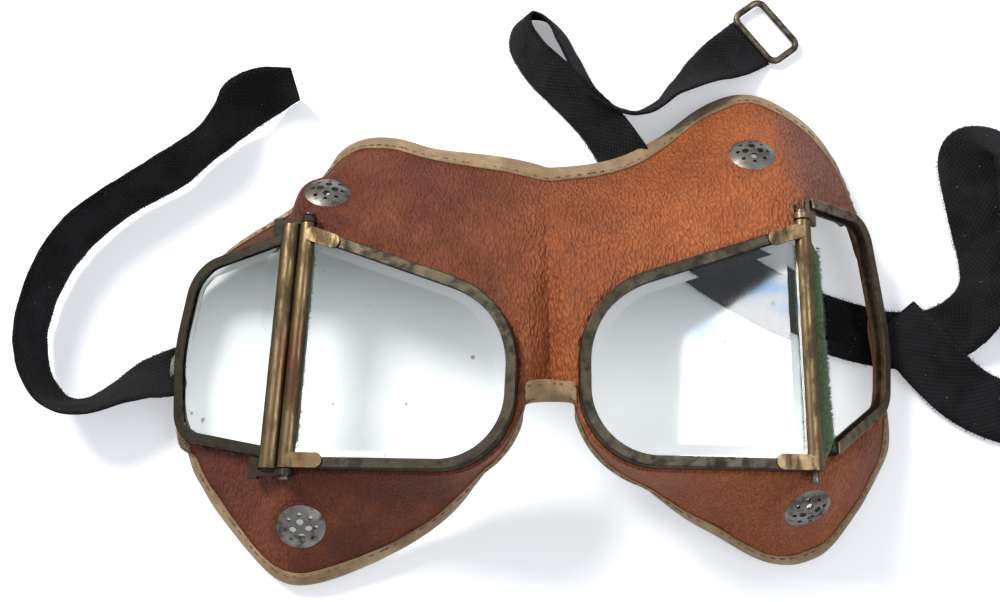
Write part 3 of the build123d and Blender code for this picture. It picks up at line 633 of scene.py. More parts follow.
def relax(points, edges, fixed, rounds):
    # Evens out the free points among their neighbours
    for _ in range(rounds):
        total = np.zeros_like(points)
        count = np.zeros(len(points))
        for a, b in ((0, 1), (1, 0)):
            np.add.at(total, edges[:, a], points[edges[:, b]])
            np.add.at(count, edges[:, a], 1)
        middle = total / np.maximum(count, 1)[:, None]
        points = points + (middle - points) * ((1 - fixed) / 2)[:, None]
    return points


def vertexNormals(points, quads):
    a, b, c, d = (points[quads[:, k]] for k in range(4))
    flat = np.cross(c - a, d - b)
    normals = np.zeros_like(points)
    for k in range(4):
        np.add.at(normals, quads[:, k], flat)
    return unitRows(normals)


leftNet, leftCrease = halfNet("left", leftBrowRows, leftCheekRows, leftSideRows, "side")
rightNet, rightCrease = halfNet("right", rightBrowRows, rightCheekRows, rightSideRows, "sprung")
columns = leftNet.shape[1]
points = np.concatenate([leftNet.reshape(-1, 3), rightNet.reshape(-1, 3)])
rightFirst = len(leftNet) * columns
quads = [tuple(reversed(f)) for f in gridFaces(len(leftNet), columns, True)]
quads += gridFaces(len(rightNet), columns, True, first=rightFirst)
# The two halves share their points along the crease
same = {}
for k in range(leftCrease[1] - leftCrease[0]):
    leftPoint = (leftCrease[0] + k + 1) * columns - 1
    rightPoint = rightFirst + (rightCrease[0] + k + 1) * columns - 1
    same[rightPoint] = leftPoint
    points[leftPoint] = (points[leftPoint] + points[rightPoint]) / 2
quads = np.array([[same.get(v, v) for v in f] for f in quads])
# Rim and edge stay put; the crease gives a little
columnOf = np.arange(len(points)) % columns
edgeKeep = np.where((columnOf <= 1) | (columnOf == columns - 1), 1.0, 0.0)
edgeKeep[list(same.values())] = maskForm["creaseHold"]
edges = np.concatenate([quads[:, [k, (k + 1) % 4]] for k in range(4)])
edges = np.unique(np.sort(edges, axis=1), axis=0)
shell = relax(points, edges, edgeKeep, maskForm["relaxRounds"])
normals = vertexNormals(shell, quads)
if np.mean(normals[:, 2]) < 0:
    quads = quads[:, ::-1]
    normals = -normals
print("shell net", shell.shape, "quads", len(quads))

# Handmade unevenness: soft puckers along the edge and slow waves over the hide
unevenness = {"wave": {"height": 0.55, "often": 0.055, "start": (0, 0, 0)},
              "pucker": {"height": 0.22, "often": 0.25, "start": (7, 3, 1)}}
for i, spot in enumerate(shell):
    rise = sum(wave(*(Vector(spot) * kind["often"] + Vector(kind["start"]))) * kind["height"]
               for kind in unevenness.values())
    shell[i] = spot + normals[i] * (1 - edgeKeep[i]) * rise

# Flat seats for the vents; each vent's thin way is its axis, and its flange sits on the hide
ventSeat = {"cap": 2.0, "flange": 1.5, "outer": 10.5, "inner": 6.5, "clear": 0.05, "reach": 8, "hole": 4.7}
vents = []
for name in ventNames:
    spots = np.array([v.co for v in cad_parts[name].data.vertices]) / mm
    middle = spots.mean(0)
    axes = np.linalg.svd(spots - middle, full_matrices=False)[2]
    normal = min(axes, key=lambda axis: np.ptp((spots - middle) @ axis))
    normal = normal if normal[2] > 0 else -normal
    height = (spots - middle) @ normal
    cap = spots[height > height.max() - ventSeat["cap"]]
    cap = cap - np.outer((cap - middle) @ normal, normal)
    centre = (cap.max(0) + cap.min(0)) / 2
    centre = centre + normal * ((middle - centre) @ normal + height.max() - ventSeat["flange"])
    vents.append(centre)
    away = shell - centre
    off = away @ normal
    ring = np.linalg.norm(away - np.outer(off, normal), axis=1)
    near = eased(between(ring, ventSeat["outer"], ventSeat["inner"])) * (np.abs(off) < ventSeat["reach"])
    shell -= normal * ((off + ventSeat["clear"]) * near)[:, None]
normals = vertexNormals(shell, quads)

# Folds: the soft pieces are cut on a line just outside each post, so that every cut lies on the front panel
folds = {"left": {"cut": 5.2, "full": 12.5}, "right": {"cut": 8.0, "full": 14.5}, "height": 20.0}


def awayFrom(half):
    spin = math.radians(maskForm["posts"][half]["spin"])
    return Vector((math.cos(spin), math.sin(spin), 0)) * sides[half]


def foldPoint(half, distance, height=folds["height"]):
    x, y, _ = maskForm["posts"][half]["place"]
    return (Vector((x, y, height)) + awayFrom(half) * distance) * mm


def rideSoft(piece, part):
    if part == "front":
        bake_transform(piece)
    else:
        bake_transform(piece)


def islandMiddles(work):
    # The middle of each face's own island
    middles, seen = {}, set()
    for face in work.faces:
        if face.index in seen:
            continue
        island, stack = [], [face]
        seen.add(face.index)
        while stack:
            island.append(stack.pop())
            for other in (other for e in island[-1].edges for other in e.link_faces):
                if other.index not in seen:
                    seen.add(other.index)
                    stack.append(other)
        middle = sum((f.calc_center_median() for f in island), Vector()) / len(island)
        middles.update({f.index: middle for f in island})
    return middles


def cutAtFolds(name, points, faces, material, uvs=None, whole=False):
    # Splits one soft mesh into its front and two side parts; their shading still joins up
    mesh = bpy.data.meshes.new(name)
    mesh.from_pydata([tuple(Vector(p) * mm) for p in points], [], [tuple(f) for f in faces])
    if uvs is not None:
        giveTapeMap(mesh, [uvs[i] for f in faces for i in f])
    work = bmesh.new()
    work.from_mesh(mesh)
    bpy.data.meshes.remove(mesh)
    if not whole:
        for half in sides:
            bmesh.ops.bisect_plane(work, geom=work.verts[:] + work.edges[:] + work.faces[:], dist=1e-7,
                                   plane_co=foldPoint(half, folds[half]["cut"]), plane_no=awayFrom(half))
    bmesh.ops.delete(work, geom=[v for v in work.verts if not v.link_faces], context="VERTS")
    work.normal_update()
    work.verts.ensure_lookup_table()
    groups = {"front": [], "left": [], "right": []}
    islands = islandMiddles(work) if whole else None
    for face in work.faces:
        spot = islands[face.index] if whole else face.calc_center_median()
        part = "front"
        for half in sides:
            if (spot - foldPoint(half, folds[half]["cut"], spot.z / mm)).dot(awayFrom(half)) > 0:
                part = half
        groups[part].append(face)
    made = {}
    layer = work.loops.layers.uv.active
    for part, faceList in groups.items():
        if not faceList:
            continue
        order = {}
        polys = [[order.setdefault(v.index, len(order)) for v in face.verts] for face in faceList]
        verts = [work.verts[i] for i in order]
        label = name if part == "front" else name + "_" + part
        piece = newPiece(label, [v.co for v in verts], polys, material)
        if layer:
            giveTapeMap(piece.data, [tuple(loop[layer].uv) for face in faceList for loop in face.loops])
        piece.data.normals_split_custom_set_from_vertices([v.normal for v in verts])
        rideSoft(piece, part)
        made[part] = piece
    work.free()
    return made


def standFor(kind):
    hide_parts("left_front_" + kind, "right_front_" + kind)
    for half in sides:
        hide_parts(half + "_side_" + kind)


# The leather stops under the empty rim, short of the opening
emptyRim = {"from": 82, "leather": 0.8, "lining": 3.6}
emptyRing = shell[rightFirst::columns]
emptyRing = emptyRing[emptyRing[:, 0] > emptyRim["from"]]


def layerMesh(over, under, underRim):
    # Closed sheet between two depths below the shell's face, open under the vents
    kept = []
    for f in quads:
        middle = shell[f].mean(0)
        clear = all(np.linalg.norm(middle - centre) > ventSeat["hole"] for centre in vents)
        if clear and np.linalg.norm(emptyRing - middle, axis=1).min() > underRim:
            kept.append(f)
    count = len(shell)
    directed = dict.fromkeys((a, b) for f in kept for a, b in zip(f, np.roll(f, -1)))
    rim = [(b, a, a + count, b + count) for a, b in directed if (b, a) not in directed]
    faces = [tuple(f) for f in kept] + [tuple(f[::-1] + count) for f in kept] + rim
    return np.concatenate([shell - normals * over, shell - normals * under]), faces


leatherMesh = layerMesh(0.0, maskForm["leather"], emptyRim["leather"])
leatherPieces = cutAtFolds("mask_leather", *leatherMesh, leatherLook)
standFor("leather")
liningMesh = layerMesh(maskForm["leather"] + maskForm["layerGap"], maskForm["leather"] + maskForm["lining"],
                       emptyRim["lining"])
liningPieces = cutAtFolds("velvet_lining", *liningMesh, velvetLook)
standFor("lining")
print("leather and lining made")

# Binding: folded tape sewn round the whole edge. Fades run between two places; wobble, pucker and ragged say
# how often a wave comes along the edge, and where it starts
bindingTape = {
    "width": 4.3, "narrow": 2.9, "nose": 4.4, "side": 1.5, "lift": 0.6, "depth": 2.7, "innerColumn": 3,
    "middle": 3.2, "cheekFade": (-5, -30), "noseFade": (12, 6),
    "sideFades": {"across": (74, 82), "above": (50, 40), "below": (-30, -22)},
    "ridge": {"middle": 3.1, "across": (11, 7.5), "below": (-27.5, -24.5), "up": (0, -0.26, 0.966),
              "out": (0, -0.966, -0.26)},
    "lineRounds": 4, "upRounds": 12, "alongRounds": 3, "tapeRounds": 2, "castRise": 6, "ridgeRise": 8,
    "wobble": (0.11, 3.1), "pucker": (0.55, 9.4), "ragged": (1.7, 5.2),
    "wobbleShare": 0.15, "raggedShare": 0.10, "puckerShare": 0.5, "bumps": (0.26, 0.3),
    "round": (0.85, 1.15), "lip": 0.25, "drop": 0.5, "turnIn": 0.2, "hem": 0.35, "clear": 0.05,
    "closeGap": 0.02, "innerFold": 0.15,
}


def edgeLoop():
    # The mask's outer edge in order: left half, then right half, from notch to notch
    ids = []
    for first, net, crease in ((0, leftNet, leftCrease), (rightFirst, rightNet, rightCrease)):
        count = len(net) - (crease[1] - crease[0]) + 2
        ids.append([first + ((crease[1] - 1 + k) % len(net) + 1) * columns - 1 for k in range(count)])
    back = ids[1][::-1][1:-1]
    outer = [same.get(v, v) for v in ids[0] + back]
    return outer, [v - bindingTape["innerColumn"] for v in outer[:len(ids[0])] + back]


def smoothedLoop(values, rounds):
    for _ in range(rounds):
        values = (np.roll(values, 1, axis=0) + values * 2 + np.roll(values, -1, axis=0)) / 4
    return values


edgeIds, innerIds = edgeLoop()
edgeLine = smoothedLoop(shell[edgeIds], bindingTape["lineRounds"])
edgeUp = unitRows(smoothedLoop(normals[edgeIds], bindingTape["upRounds"]))
edgeAlong = np.roll(edgeLine, -1, axis=0) - np.roll(edgeLine, 1, axis=0)
edgeAlong = unitRows(smoothedLoop(edgeAlong, bindingTape["alongRounds"]))
edgeOut = np.cross(edgeAlong, edgeUp)
flips = np.sign(np.sum(edgeOut * (shell[edgeIds] - shell[innerIds]), axis=1))
edgeOut = unitRows(edgeOut * np.sign(np.median(flips)))
# Over the nose the tape lies flat on top of the ridge
ridge = bindingTape["ridge"]
onRidge = between(np.abs(edgeLine[:, 0] - ridge["middle"]), *ridge["across"]) * (edgeLine[:, 1] < 0)
onRidge = eased(onRidge * between(edgeLine[:, 1], *ridge["below"]))[:, None]
edgeUp = unitRows(edgeUp * (1 - onRidge) + np.array(ridge["up"]) * onRidge)
edgeOut = edgeOut * (1 - onRidge) + np.array(ridge["out"]) * onRidge
edgeOut = unitRows(edgeOut - edgeUp * np.sum(edgeOut * edgeUp, axis=1)[:, None])
edgeReach = reachAlong(edgeLine)
hide = BVHTree.FromPolygons([Vector(p) for p in shell], [tuple(int(v) for v in f) for f in quads])


def onHide(i, inward):
    # The place on the leather at a distance in from its edge
    spot = edgeLine[i] - edgeOut[i] * inward
    if inward <= 0:
        return spot
    rise = bindingTape["castRise"] + bindingTape["ridgeRise"] * onRidge[i][0]
    hit = hide.ray_cast(Vector(spot + edgeUp[i] * rise), Vector(-edgeUp[i]), rise * 2)[0]
    return spot if hit is None else np.array(hit)


def tapeWidth(spot):
    # Wide along the brow and the nose, narrower round the cheeks, narrowest beside the side panels
    tape = bindingTape
    across = abs(spot[0] - tape["middle"])
    width = tape["width"] + (tape["narrow"] - tape["width"]) * between(spot[1], *tape["cheekFade"])
    nose = between(across, *tape["noseFade"]) * (1 if spot[1] < 0 else 0)
    fades = tape["sideFades"]
    side = between(across, *fades["across"])
    side *= between(spot[1], *fades["above"]) * between(spot[1], *fades["below"])
    return width + (tape["nose"] - width) * nose + (tape["side"] - width) * side


def bindingSection(i):
    # The folded tape's outline at one place, as distances out from the edge and up, from its upper hem round
    tape = bindingTape
    wobble, pucker, ragged = (wave(edgeReach[i] * size, start, 0)
                              for size, start in (tape["wobble"], tape["pucker"], tape["ragged"]))
    width = tapeWidth(edgeLine[i]) * (1 + tape["wobbleShare"] * wobble + tape["raggedShare"] * ragged)
    lift, depth = tape["lift"] * (1 + tape["puckerShare"] * pucker), tape["depth"]
    bumps, (shoulder, front) = [bump * pucker for bump in tape["bumps"]], tape["round"]
    turnIn, clear, under = tape["turnIn"], tape["clear"], -depth - tape["closeGap"]
    return [(-width, clear), (-width, lift * 0.618), (-width * 0.72, lift * 0.82 + bumps[0]),
            (-width * 0.4, lift + bumps[1]), (-tape["lip"], lift), (shoulder, lift * 0.35),
            (front, -tape["drop"]), (front, -depth * 0.6), (shoulder, -depth - turnIn),
            (-turnIn, -depth - lift), (-width * 0.5, -depth - lift), (-width * 0.9, -depth - tape["hem"]),
            (-width * 0.9, under), (-turnIn, under), (tape["innerFold"], -depth * 0.5), (-turnIn, clear)]


def bindingStrip():
    rows, uvs = [], []
    for i in range(len(edgeLine)):
        profile = bindingSection(i)
        rows.append([onHide(i, -out) + edgeUp[i] * up for out, up in profile])
        uvs += [(edgeReach[i] * mm, reach * mm) for reach in reachAlong(np.array(profile))]
    rows = smoothedLoop(np.array(rows), bindingTape["tapeRounds"])
    return rows.reshape(-1, 3), gridFaces(len(rows), rows.shape[1], True, True), uvs


def faceOut(points, faces):
    # Turns a closed mesh's faces outwards
    volume = 0
    for f in faces:
        for b, c in zip(f[1:], f[2:]):
            volume += np.dot(points[f[0]], np.cross(points[b], points[c]))
    return faces if volume > 0 else [f[::-1] for f in faces]


stripPoints, stripFaces, stripUvs = bindingStrip()
stripFaces = faceOut(stripPoints, stripFaces)
bindingPieces = cutAtFolds("cotton_binding", stripPoints, stripFaces, cottonLook, stripUvs)
standFor("binding")

threadFinish = {
    "fibre": (6000.0, 2.0), "mottle": 200.0, "one": (0.30, 0.20, 0.11, 1), "other": (0.12, 0.07, 0.04, 1),
    "relief": 0.6, "depth": 0.0001,
}
stitch = {"step": 2.3, "length": 1.5, "thick": 0.2, "taper": 0.12, "sink": 0.12, "rings": 5, "around": 6,
          "inShare": 0.76, "liftShare": 0.86}


def stitches():
    points, faces = [], []
    rings, around = stitch["rings"], stitch["around"]
    position = 0.0
    while position < edgeReach[-1]:
        i = min(int(np.searchsorted(edgeReach, position)), len(edgeLine) - 1)
        up, out, along = edgeUp[i], edgeOut[i], edgeAlong[i]
        middle = onHide(i, tapeWidth(edgeLine[i]) * stitch["inShare"])
        middle = middle + up * (bindingTape["lift"] * stitch["liftShare"])
        faces += tubeFaces(rings, around, len(points))
        for k in range(rings):
            share = k / (rings - 1)
            sink = stitch["sink"] * (2 * share - 1) ** 2
            centre = middle + along * ((share - 0.5) * stitch["length"]) - up * sink
            swell = stitch["taper"] + (1 - 2 * stitch["taper"]) * share
            thick = stitch["thick"] * math.sin(math.pi * swell)
            for q in range(around):
                angle = q / around * 2 * math.pi
                points.append(centre + out * (math.cos(angle) * thick) + up * (math.sin(angle) * thick))
        position += stitch["step"]
    return points, faces


threadLook = fibreLook("sewing thread", threadFinish, Roughness=0.8)
stitchPieces = cutAtFolds("binding_stitches", *stitches(), threadLook, whole=True)
print("binding sewn")

# Felt strips under the posts: a padded body with loose fibres
feltFinish = {
    "fibre": (1300.0, 5.0, 0.75), "mottle": 110.0, "relief": 1.0, "depth": 0.0008,
    "one": (0.028, 0.078, 0.020, 1), "other": (0.075, 0.15, 0.042, 1),
    "tips": (0.13, 0.22, 0.075, 1), "tipRange": (0.4, 0.7),
}
feltLook = fibreLook("green chenille", feltFinish, Roughness=0.95, Sheen_Weight=0.35)
feltForm = {
    "long": 55.4, "deep": 2.2, "below": 3.5, "rows": 70, "around": 16, "square": (0.6, 0.8),
    "rough": 0.12, "roughOften": (0.9, 0.6, 0.9), "roughStart": 4, "endShare": 0.45, "endRise": 6,
    "fibreEnd": 5, "fibreWide": 0.07, "fibreRoot": (0.96, 0.9), "fibreLength": (0.5, 1.15), "under": 0.4,
    "lean": ((-0.6, 0.6), (-0.8, 0.8), (-0.3, 0.4)), "leanUp": 0.7, "kneeShare": 0.6, "kneeWide": 0.7,
    "bend": (-0.2, 0.2), "droop": 0.1,
}
feltStrips = {
    "left_seal_strip": {"half": "left", "width": 3.9, "offset": 0.0, "spread": 0.0, "fibres": 500},
    "right_seal_strip": {"half": "right", "width": 6.6, "offset": 1.5, "spread": 1.4, "fibres": 2200},
}


def feltStrip(name, spec):
    felt = feltForm
    panel = panelFrame(spec["half"], 0)
    side = sides[spec["half"]]
    long, deep, rows, around, often = (felt[key] for key in ("long", "deep", "rows", "around", "roughOften"))
    random.seed(len(name) + spec["fibres"])

    def spreadAt(y, x):
        # The strip widens outwards and down the post
        return spec["spread"] * (0.5 - y / long) * (1 if x * side > 0 else 0)

    points = []
    for r in range(rows):
        y = (r / (rows - 1) - 0.5) * long
        endFall = min(1.0, felt["endRise"] * min(r, rows - 1 - r) / (rows - 1) + felt["endShare"])
        for q in range(around):
            angle = q / around * 2 * math.pi
            c, s = math.cos(angle), math.sin(angle)
            x = spec["width"] / 2 * math.copysign(abs(c) ** felt["square"][0], c)
            z = deep / 2 * math.copysign(abs(s) ** felt["square"][1], s)
            rough = wave(x * often[0], y * often[1], z * often[2] + felt["roughStart"])
            size = (1 + felt["rough"] * rough) * endFall
            x *= 1 + spreadAt(y, x) / spec["width"] * 2
            points.append(panel @ Vector((side * spec["offset"] + x * size, y, z * size - felt["below"])))
    faces = tubeFaces(rows, around)
    for _ in range(spec["fibres"]):
        y = (random.random() - 0.5) * (long - felt["fibreEnd"])
        angle = random.uniform(-felt["under"], math.pi + felt["under"])
        c, s = math.cos(angle), math.sin(angle)
        out = side * spec["offset"] + c * (spec["width"] / 2 * felt["fibreRoot"][0] + spreadAt(y, c))
        root = Vector((out, y, s * deep / 2 * felt["fibreRoot"][1] - felt["below"]))
        lean = Vector((c, 0, s * felt["leanUp"])) + Vector([random.uniform(*reach) for reach in felt["lean"]])
        lean.normalize()
        length = random.uniform(*felt["fibreLength"])
        wide = lean.cross(Vector((0, 0, 1))).normalized() * felt["fibreWide"]
        bend = Vector((random.uniform(*felt["bend"]), random.uniform(*felt["bend"]), -felt["droop"]))
        knee, kneeWide = root + lean * length * felt["kneeShare"] + bend, wide * felt["kneeWide"]
        first = len(points)
        spots = (root + wide, root - wide, knee + kneeWide, knee - kneeWide, root + lean * length)
        points += [panel @ spot for spot in spots]
        faces += [(first, first + 1, first + 3, first + 2), (first + 2, first + 3, first + 4)]
    piece = newPiece("chenille_" + spec["half"], [p * mm for p in points], faces, feltLook)
    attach(piece, spec["half"] + "_front")
    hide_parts(name)


for name, spec in feltStrips.items():
    feltStrip(name, spec)
print("felt strips made")

# Straps: worn black tape that stands half on edge, with a soft twist along it
leftStrapRoute = [
    (-91.5, -19.0, 2.75), (-98.0, -20.5, 4.2), (-104.0, -23.4, 6.2), (-110.5, -27.6, 7.8),
    (-117.5, -30.5, 8.6), (-125.0, -27.8, 9.0), (-130.5, -17.5, 9.3), (-130.5, -4.0, 9.5),
    (-124.0, 13.0, 9.3), (-111.0, 25.0, 9.0), (-95.6, 34.0, 9.0), (-84.4, 45.0, 8.8),
    (-78.2, 55.4, 8.2), (-66.4, 57.8, 7.4),
]
rightStrapRoute = [
    (88.6, -6.2, 3.2), (92.8, -11.2, 4.4), (99.2, -19.4, 4.2), (107.2, -26.8, 3.0), (118.5, -31.5, 3.0),
    (129.0, -31.0, 4.0), (135.5, -22.5, 5.5), (134.0, -11.0, 6.0), (126.5, -0.5, 6.0), (121.5, 14.0, 6.0),
    (122.5, 29.0, 5.0), (122.3, 42.5, 4.0), (111.2, 43.0, 4.0), (112.6, 26.0, 5.0), (115.0, 12.0, 4.0),
    (114.5, 1.0, 1.5), (105.0, -9.5, 0.9), (91.0, -11.5, 1.0), (77.5, -8.6, 1.6), (63.0, -3.6, 2.4),
    (48.0, 5.0, 2.4), (35.0, 15.6, 2.4), (25.2, 28.0, 3.4), (18.5, 42.0, 5.0), (8.5, 53.5, 6.0),
    (-2.8, 64.5, 6.3), (-7.5, 73.0, 6.8), (-4.6, 79.0, 7.0), (2.8, 76.4, 7.2), (7.1, 66.0, 7.2),
    (13.2, 53.5, 7.2), (25.5, 48.0, 7.2), (36.5, 57.5, 5.2), (46.9, 66.2, 2.4), (56.9, 73.3, 1.0),
]
# Tilts: how far the tape stands on edge at shares of its length, in degrees; a positive tilt leans its top
# edge to the left of its way
straps = {
    "left_strap": {
        "route": leftStrapRoute, "body": "left_front", "length": 0.15, "seed": 4, "farEnd": "bare",
        "carries": [],
        "tilts": [(0, 20), (0.06, 32), (0.13, 56), (0.2, 68), (0.28, 73), (0.36, 77), (0.5, 77), (0.58, 72),
                  (0.66, 78), (0.74, 72), (0.80, 80), (0.86, 70), (0.90, 44), (0.94, 50), (1, 84)]},
    "right_strap": {
        "route": rightStrapRoute, "body": "right_front", "length": 0.43, "seed": 9, "farEnd": "fitting",
        "carries": ["buckle_loop"],
        "tilts": [(0, 12), (0.06, 10), (0.12, 12), (0.17, 40), (0.21, 52), (0.27, 45), (0.31, 35), (0.34, 18),
                  (0.38, 34), (0.42, 30), (0.46, 6), (0.5, 4), (0.6, -4), (0.66, -40), (0.72, -60),
                  (0.78, -70), (0.83, -68), (0.87, -64), (0.90, -66), (0.925, -72), (0.95, -48),
                  (0.98, -14), (1, 0)]},
}
# Each wave: its height, how often it comes along the tape, and in two of them how often across it
strapTape = {
    "width": 15.5, "thick": 0.42, "across": 13, "step": 0.8, "alongRounds": 4, "tiltRounds": 10,
    "twist": (5, 0.06), "crown": (0.6, 0.09), "ragged": (0.16, 1.3, 3), "ripple": (0.28, 0.22, 1.4),
    "crownStart": 5, "rippleStart": 2, "selvedge": 1.25, "selvedgeFrom": 0.8, "edge": 0.45,
    "offTable": 0.1, "lowest": 0.05, "underUv": 0.0007,
    "frayPerMm": 5, "frayWide": 0.07, "frayLowest": 0.06, "frayDrift": 0.6, "driftShare": 0.5,
    "frayLean": 1.2, "frayLength": (0.5, 1.1), "frayTurn": (0.2, 0.3, 0.9),
}


def strapLine(name, route):
    # Points read from a smooth spline that has the route as its control points
    curve = bpy.data.curves.new(name + "Line", "CURVE")
    curve.dimensions = "3D"
    spline = curve.splines.new("NURBS")
    spline.points.add(len(route) - 1)
    for point, (x, y, z) in zip(spline.points, route):
        point.co = ((x + maskForm["shift"][0]) * mm, (y + maskForm["shift"][1]) * mm, z * mm, 1)
    spline.order_u = 3
    spline.use_endpoint_u = True
    spline.resolution_u = 10
    carrier = bpy.data.objects.new(name + "Line", curve)
    scene.collection.objects.link(carrier)
    bpy.context.view_layer.update()
    read = bpy.data.meshes.new_from_object(carrier)
    line = np.array([v.co for v in read.vertices]) / mm
    bpy.data.objects.remove(carrier)
    bpy.data.meshes.remove(read)
    return line


def evenLine(line, step):
    reach = reachAlong(line)
    places = np.linspace(0, reach[-1], int(reach[-1] / step) + 1)
    return np.stack([np.interp(places, reach, line[:, k]) for k in range(3)], axis=1), places


def smoothedOpen(values, rounds):
    for _ in range(rounds):
        inside = (values[:-2] + values[1:-1] * 2 + values[2:]) / 4
        values = np.concatenate([values[:1], inside, values[-1:]])
    return values


def strapSection(spot, along, place, tilt, seed):
    # One row of points round the tape: its upper face, then its under face back
    tape = strapTape
    half, thick, last = tape["width"] / 2, tape["thick"], tape["across"] - 1
    twist, crown, ragged, ripple = (tape[key] for key in ("twist", "crown", "ragged", "ripple"))
    level = unit(np.array([-along[1], along[0], 0]))
    tilt = math.radians(tilt + twist[0] * wave(place * twist[1], seed, 0))
    wide = level * math.cos(tilt) + np.array([0, 0, math.sin(tilt)])
    face = unit(np.cross(along, wide))
    centre = spot.copy()
    centre[2] = max(centre[2], abs(math.sin(tilt)) * half + thick + tape["offTable"])
    crownHere = crown[0] * wave(place * crown[1], seed + tape["crownStart"], 0)
    top, under, topUv, underUv = [], [], [], []
    for k in range(last + 1):
        s = -1 + 2 * k / last
        atEdge = abs(s) == 1
        fray = ragged[0] * wave(place * ragged[1], s * ragged[2], seed) * s if atEdge else 0
        rippleHere = ripple[0] * wave(place * ripple[1], s * ripple[2], seed + tape["rippleStart"])
        point = centre + wide * (s * half + fray) + face * (crownHere * (1 - s * s) + rippleHere)
        body = thick * (tape["selvedge"] if abs(s) > tape["selvedgeFrom"] else 1)
        body *= tape["edge"] if atEdge else 1
        top.append(point + face * body)
        under.append(point - face * body)
        topUv.append((place * mm, (s + 1) * half * mm))
        underUv.append((place * mm, (s + 1) * half * mm + tape["underUv"]))
    return top + under[::-1], topUv + underUv[::-1]


def frayedEdge(rows, along, length):
    # Loose fibres along both edges
    tape = strapTape
    points, faces = [], []
    for _ in range(int(length * tape["frayPerMm"])):
        i = random.randrange(1, len(rows) - 1)
        root = rows[i, random.choice((0, tape["across"] - 1))]
        outward = unit(root - rows[i, tape["across"] // 2])
        drift = np.array([random.uniform(-tape["frayDrift"], tape["frayDrift"]) for _ in range(3)])
        lengthwise = along[i] * random.uniform(-tape["frayLean"], tape["frayLean"])
        lean = unit(outward + lengthwise + drift * tape["driftShare"])
        tip = root + lean * random.uniform(*tape["frayLength"])
        tip[2] = max(tip[2], tape["frayLowest"])
        flat = unit(np.cross(lean, tape["frayTurn"])) * tape["frayWide"]
        faces.append(tuple(range(len(points), len(points) + 3)))
        points += [root + flat, root - flat, tip]
    return np.array(points), faces


def makeStrap(name, spec):
    smoothLine = strapLine(name, spec["route"])
    line, places = evenLine(smoothLine, strapTape["step"])
    along = unitRows(smoothedOpen(np.gradient(line, axis=0), strapTape["alongRounds"]))
    tilts = np.interp(places / places[-1], *zip(*spec["tilts"]))
    tilts = smoothedOpen(tilts, strapTape["tiltRounds"])
    random.seed(spec["seed"])
    sections = [strapSection(*row, spec["seed"]) for row in zip(line, along, places, tilts)]
    rows = np.array([section[0] for section in sections])
    rows[:, :, 2] = np.maximum(rows[:, :, 2], strapTape["lowest"])
    points = rows.reshape(-1, 3)
    uvs = [uv for section in sections for uv in section[1]]
    faces = faceOut(points, tubeFaces(len(rows), rows.shape[1]))
    piece = newPiece(name + "_tape", points * mm, faces, tapeLook)
    giveTapeMap(piece.data, [uvs[i] for f in faces for i in f])
    frayPoints, frayFaces = frayedEdge(rows, along, places[-1])
    fray = newPiece(name + "_fray", frayPoints * mm, frayFaces, tapeLook)
    fray.data.uv_layers.new(name="tapeMap")
    for made in (piece, fray):
        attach(made, spec["body"])
    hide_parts(name)
    print(name, "length", round(places[-1] * mm, 4))


for name, spec in straps.items():
    makeStrap(name, spec)
print("straps laid")

# Table, light from the upper left, and a bright window card for the lenses
tableTop = {
    "half": 3.0, "glow": 0.36, "light": (0.96, 0.975, 1.0, 1),
    "colour": (0.86, 0.875, 0.90, 1), "mottle": (0.84, 0.855, 0.885, 1),
    "browShade": {"From_Min": 0.018, "From_Max": -0.020, "To_Min": 0.05, "To_Max": 0.58},
}


def tableLook():
    material, tree, shader = newMaterial("white table", Roughness=0.9, Specular_IOR_Level=0.1)
    place = restPlace(tree)
    mottle = cloud(tree, place, 6.0, detail=3.0)
    send(tree, shader, Base_Color=mixed(tree, mottle, tableTop["mottle"], tableTop["colour"]))
    # Seen directly the table is a bright, slightly overexposed white
    ray = put(tree, "LightPath").outputs
    direct = times(tree, ray["Is Camera Ray"], tableTop["glow"])
    # Painted light: seen through the lenses the table glows, weakly under the brow as painted brow shade and
    # strongly away from it
    away = put(tree, "SeparateXYZ", Vector=place).outputs[1]
    shade = put(tree, "MapRange", Value=away, **tableTop["browShade"]).outputs[0]
    through = times(tree, ray["Is Transmission Ray"], shade)
    glow = put(tree, "Emission", Color=tableTop["light"], Strength=maths(tree, "MAXIMUM", direct, through))
    surface(tree, put(tree, "AddShader", i0=shader.outputs[0], i1=glow.outputs[0]))
    return material


tableCorners = [Vector(way) * tableTop["half"] for way in ((-1, -1, 0), (1, -1, 0), (1, 1, 0), (-1, 1, 0))]
floor = newPiece("table", tableCorners, [(0, 1, 2, 3)], tableLook(), False)

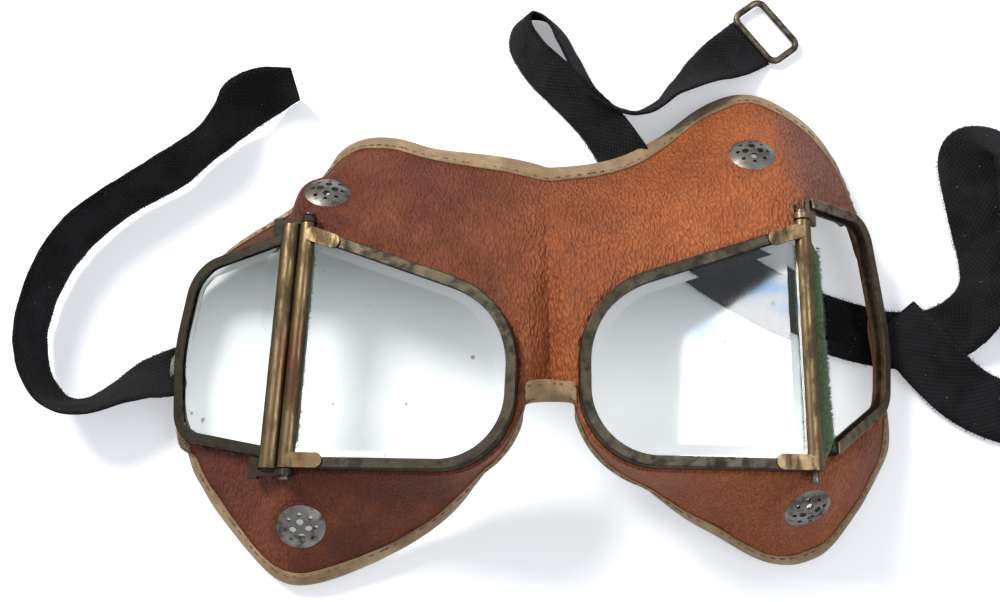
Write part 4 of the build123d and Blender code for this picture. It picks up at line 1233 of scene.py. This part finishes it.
windowPane = {
    "corners": [(0.318, 0.198), (0.416, 0.266), (0.50, 0.29), (0.50, 0.06), (0.31, 0.06)], "height": 0.8,
    "white": (0.97, 0.99, 1.0, 1), "blue": (0.30, 0.60, 0.95, 1), "blueFrom": (0.17, 0.22), "strength": 22.0,
}


def windowLook():
    # White, with a few blue streaks in its upper part
    material, tree, _ = newMaterial("window pane")
    place = restPlace(tree)
    streaks = put(tree, "Mapping", Vector=place, Scale=(9.0, 40.0, 1.0), Rotation=(0, 0, 0.5)).outputs[0]
    leaves = ramp(tree, cloud(tree, streaks, 1.0, detail=3.0), 0.46, 0.56)
    upper = ramp(tree, put(tree, "SeparateXYZ", Vector=place).outputs[1], *windowPane["blueFrom"])
    colour = mixed(tree, times(tree, upper, leaves), windowPane["white"], windowPane["blue"])
    surface(tree, put(tree, "Emission", Color=colour, Strength=windowPane["strength"]))
    return material


# Only mirror reflections see the card: it is the bright pane in the right lens
cardCorners = [(x, y, windowPane["height"]) for x, y in windowPane["corners"]]
card = newPiece("window_card", cardCorners, [tuple(range(len(cardCorners)))], windowLook(), False)
for kind in ("camera", "diffuse", "transmission", "shadow", "volume_scatter"):
    setattr(card, "visible_" + kind, False)

lamps = {
    "windowLight": {"place": (-0.75, 0.72, 0.95), "size": 0.42, "power": 17.0, "colour": (1.0, 0.985, 0.96)},
    "fillLight": {"place": (0.9, -0.5, 1.2), "size": 1.0, "power": 4.0, "colour": (0.93, 0.96, 1.0)},
}
sky = {"Color": (0.93, 0.96, 1.0, 1), "Strength": 0.55}
for name, spec in lamps.items():
    data = bpy.data.lights.new(name, "AREA")
    data.shape = "DISK"
    data.size = spec["size"]
    data.energy = spec["power"]
    data.color = spec["colour"]
    light = bpy.data.objects.new(name, data)
    light.location = spec["place"]
    light.rotation_euler = turnTo(spec["place"], (0, 0, 0))
    scene.collection.objects.link(light)
world = bpy.data.worlds.new("studio")
world.use_nodes = True
send(world.node_tree, world.node_tree.nodes["Background"], **sky)
scene.world = world
scene.view_settings.view_transform = "Standard"
print("lit")
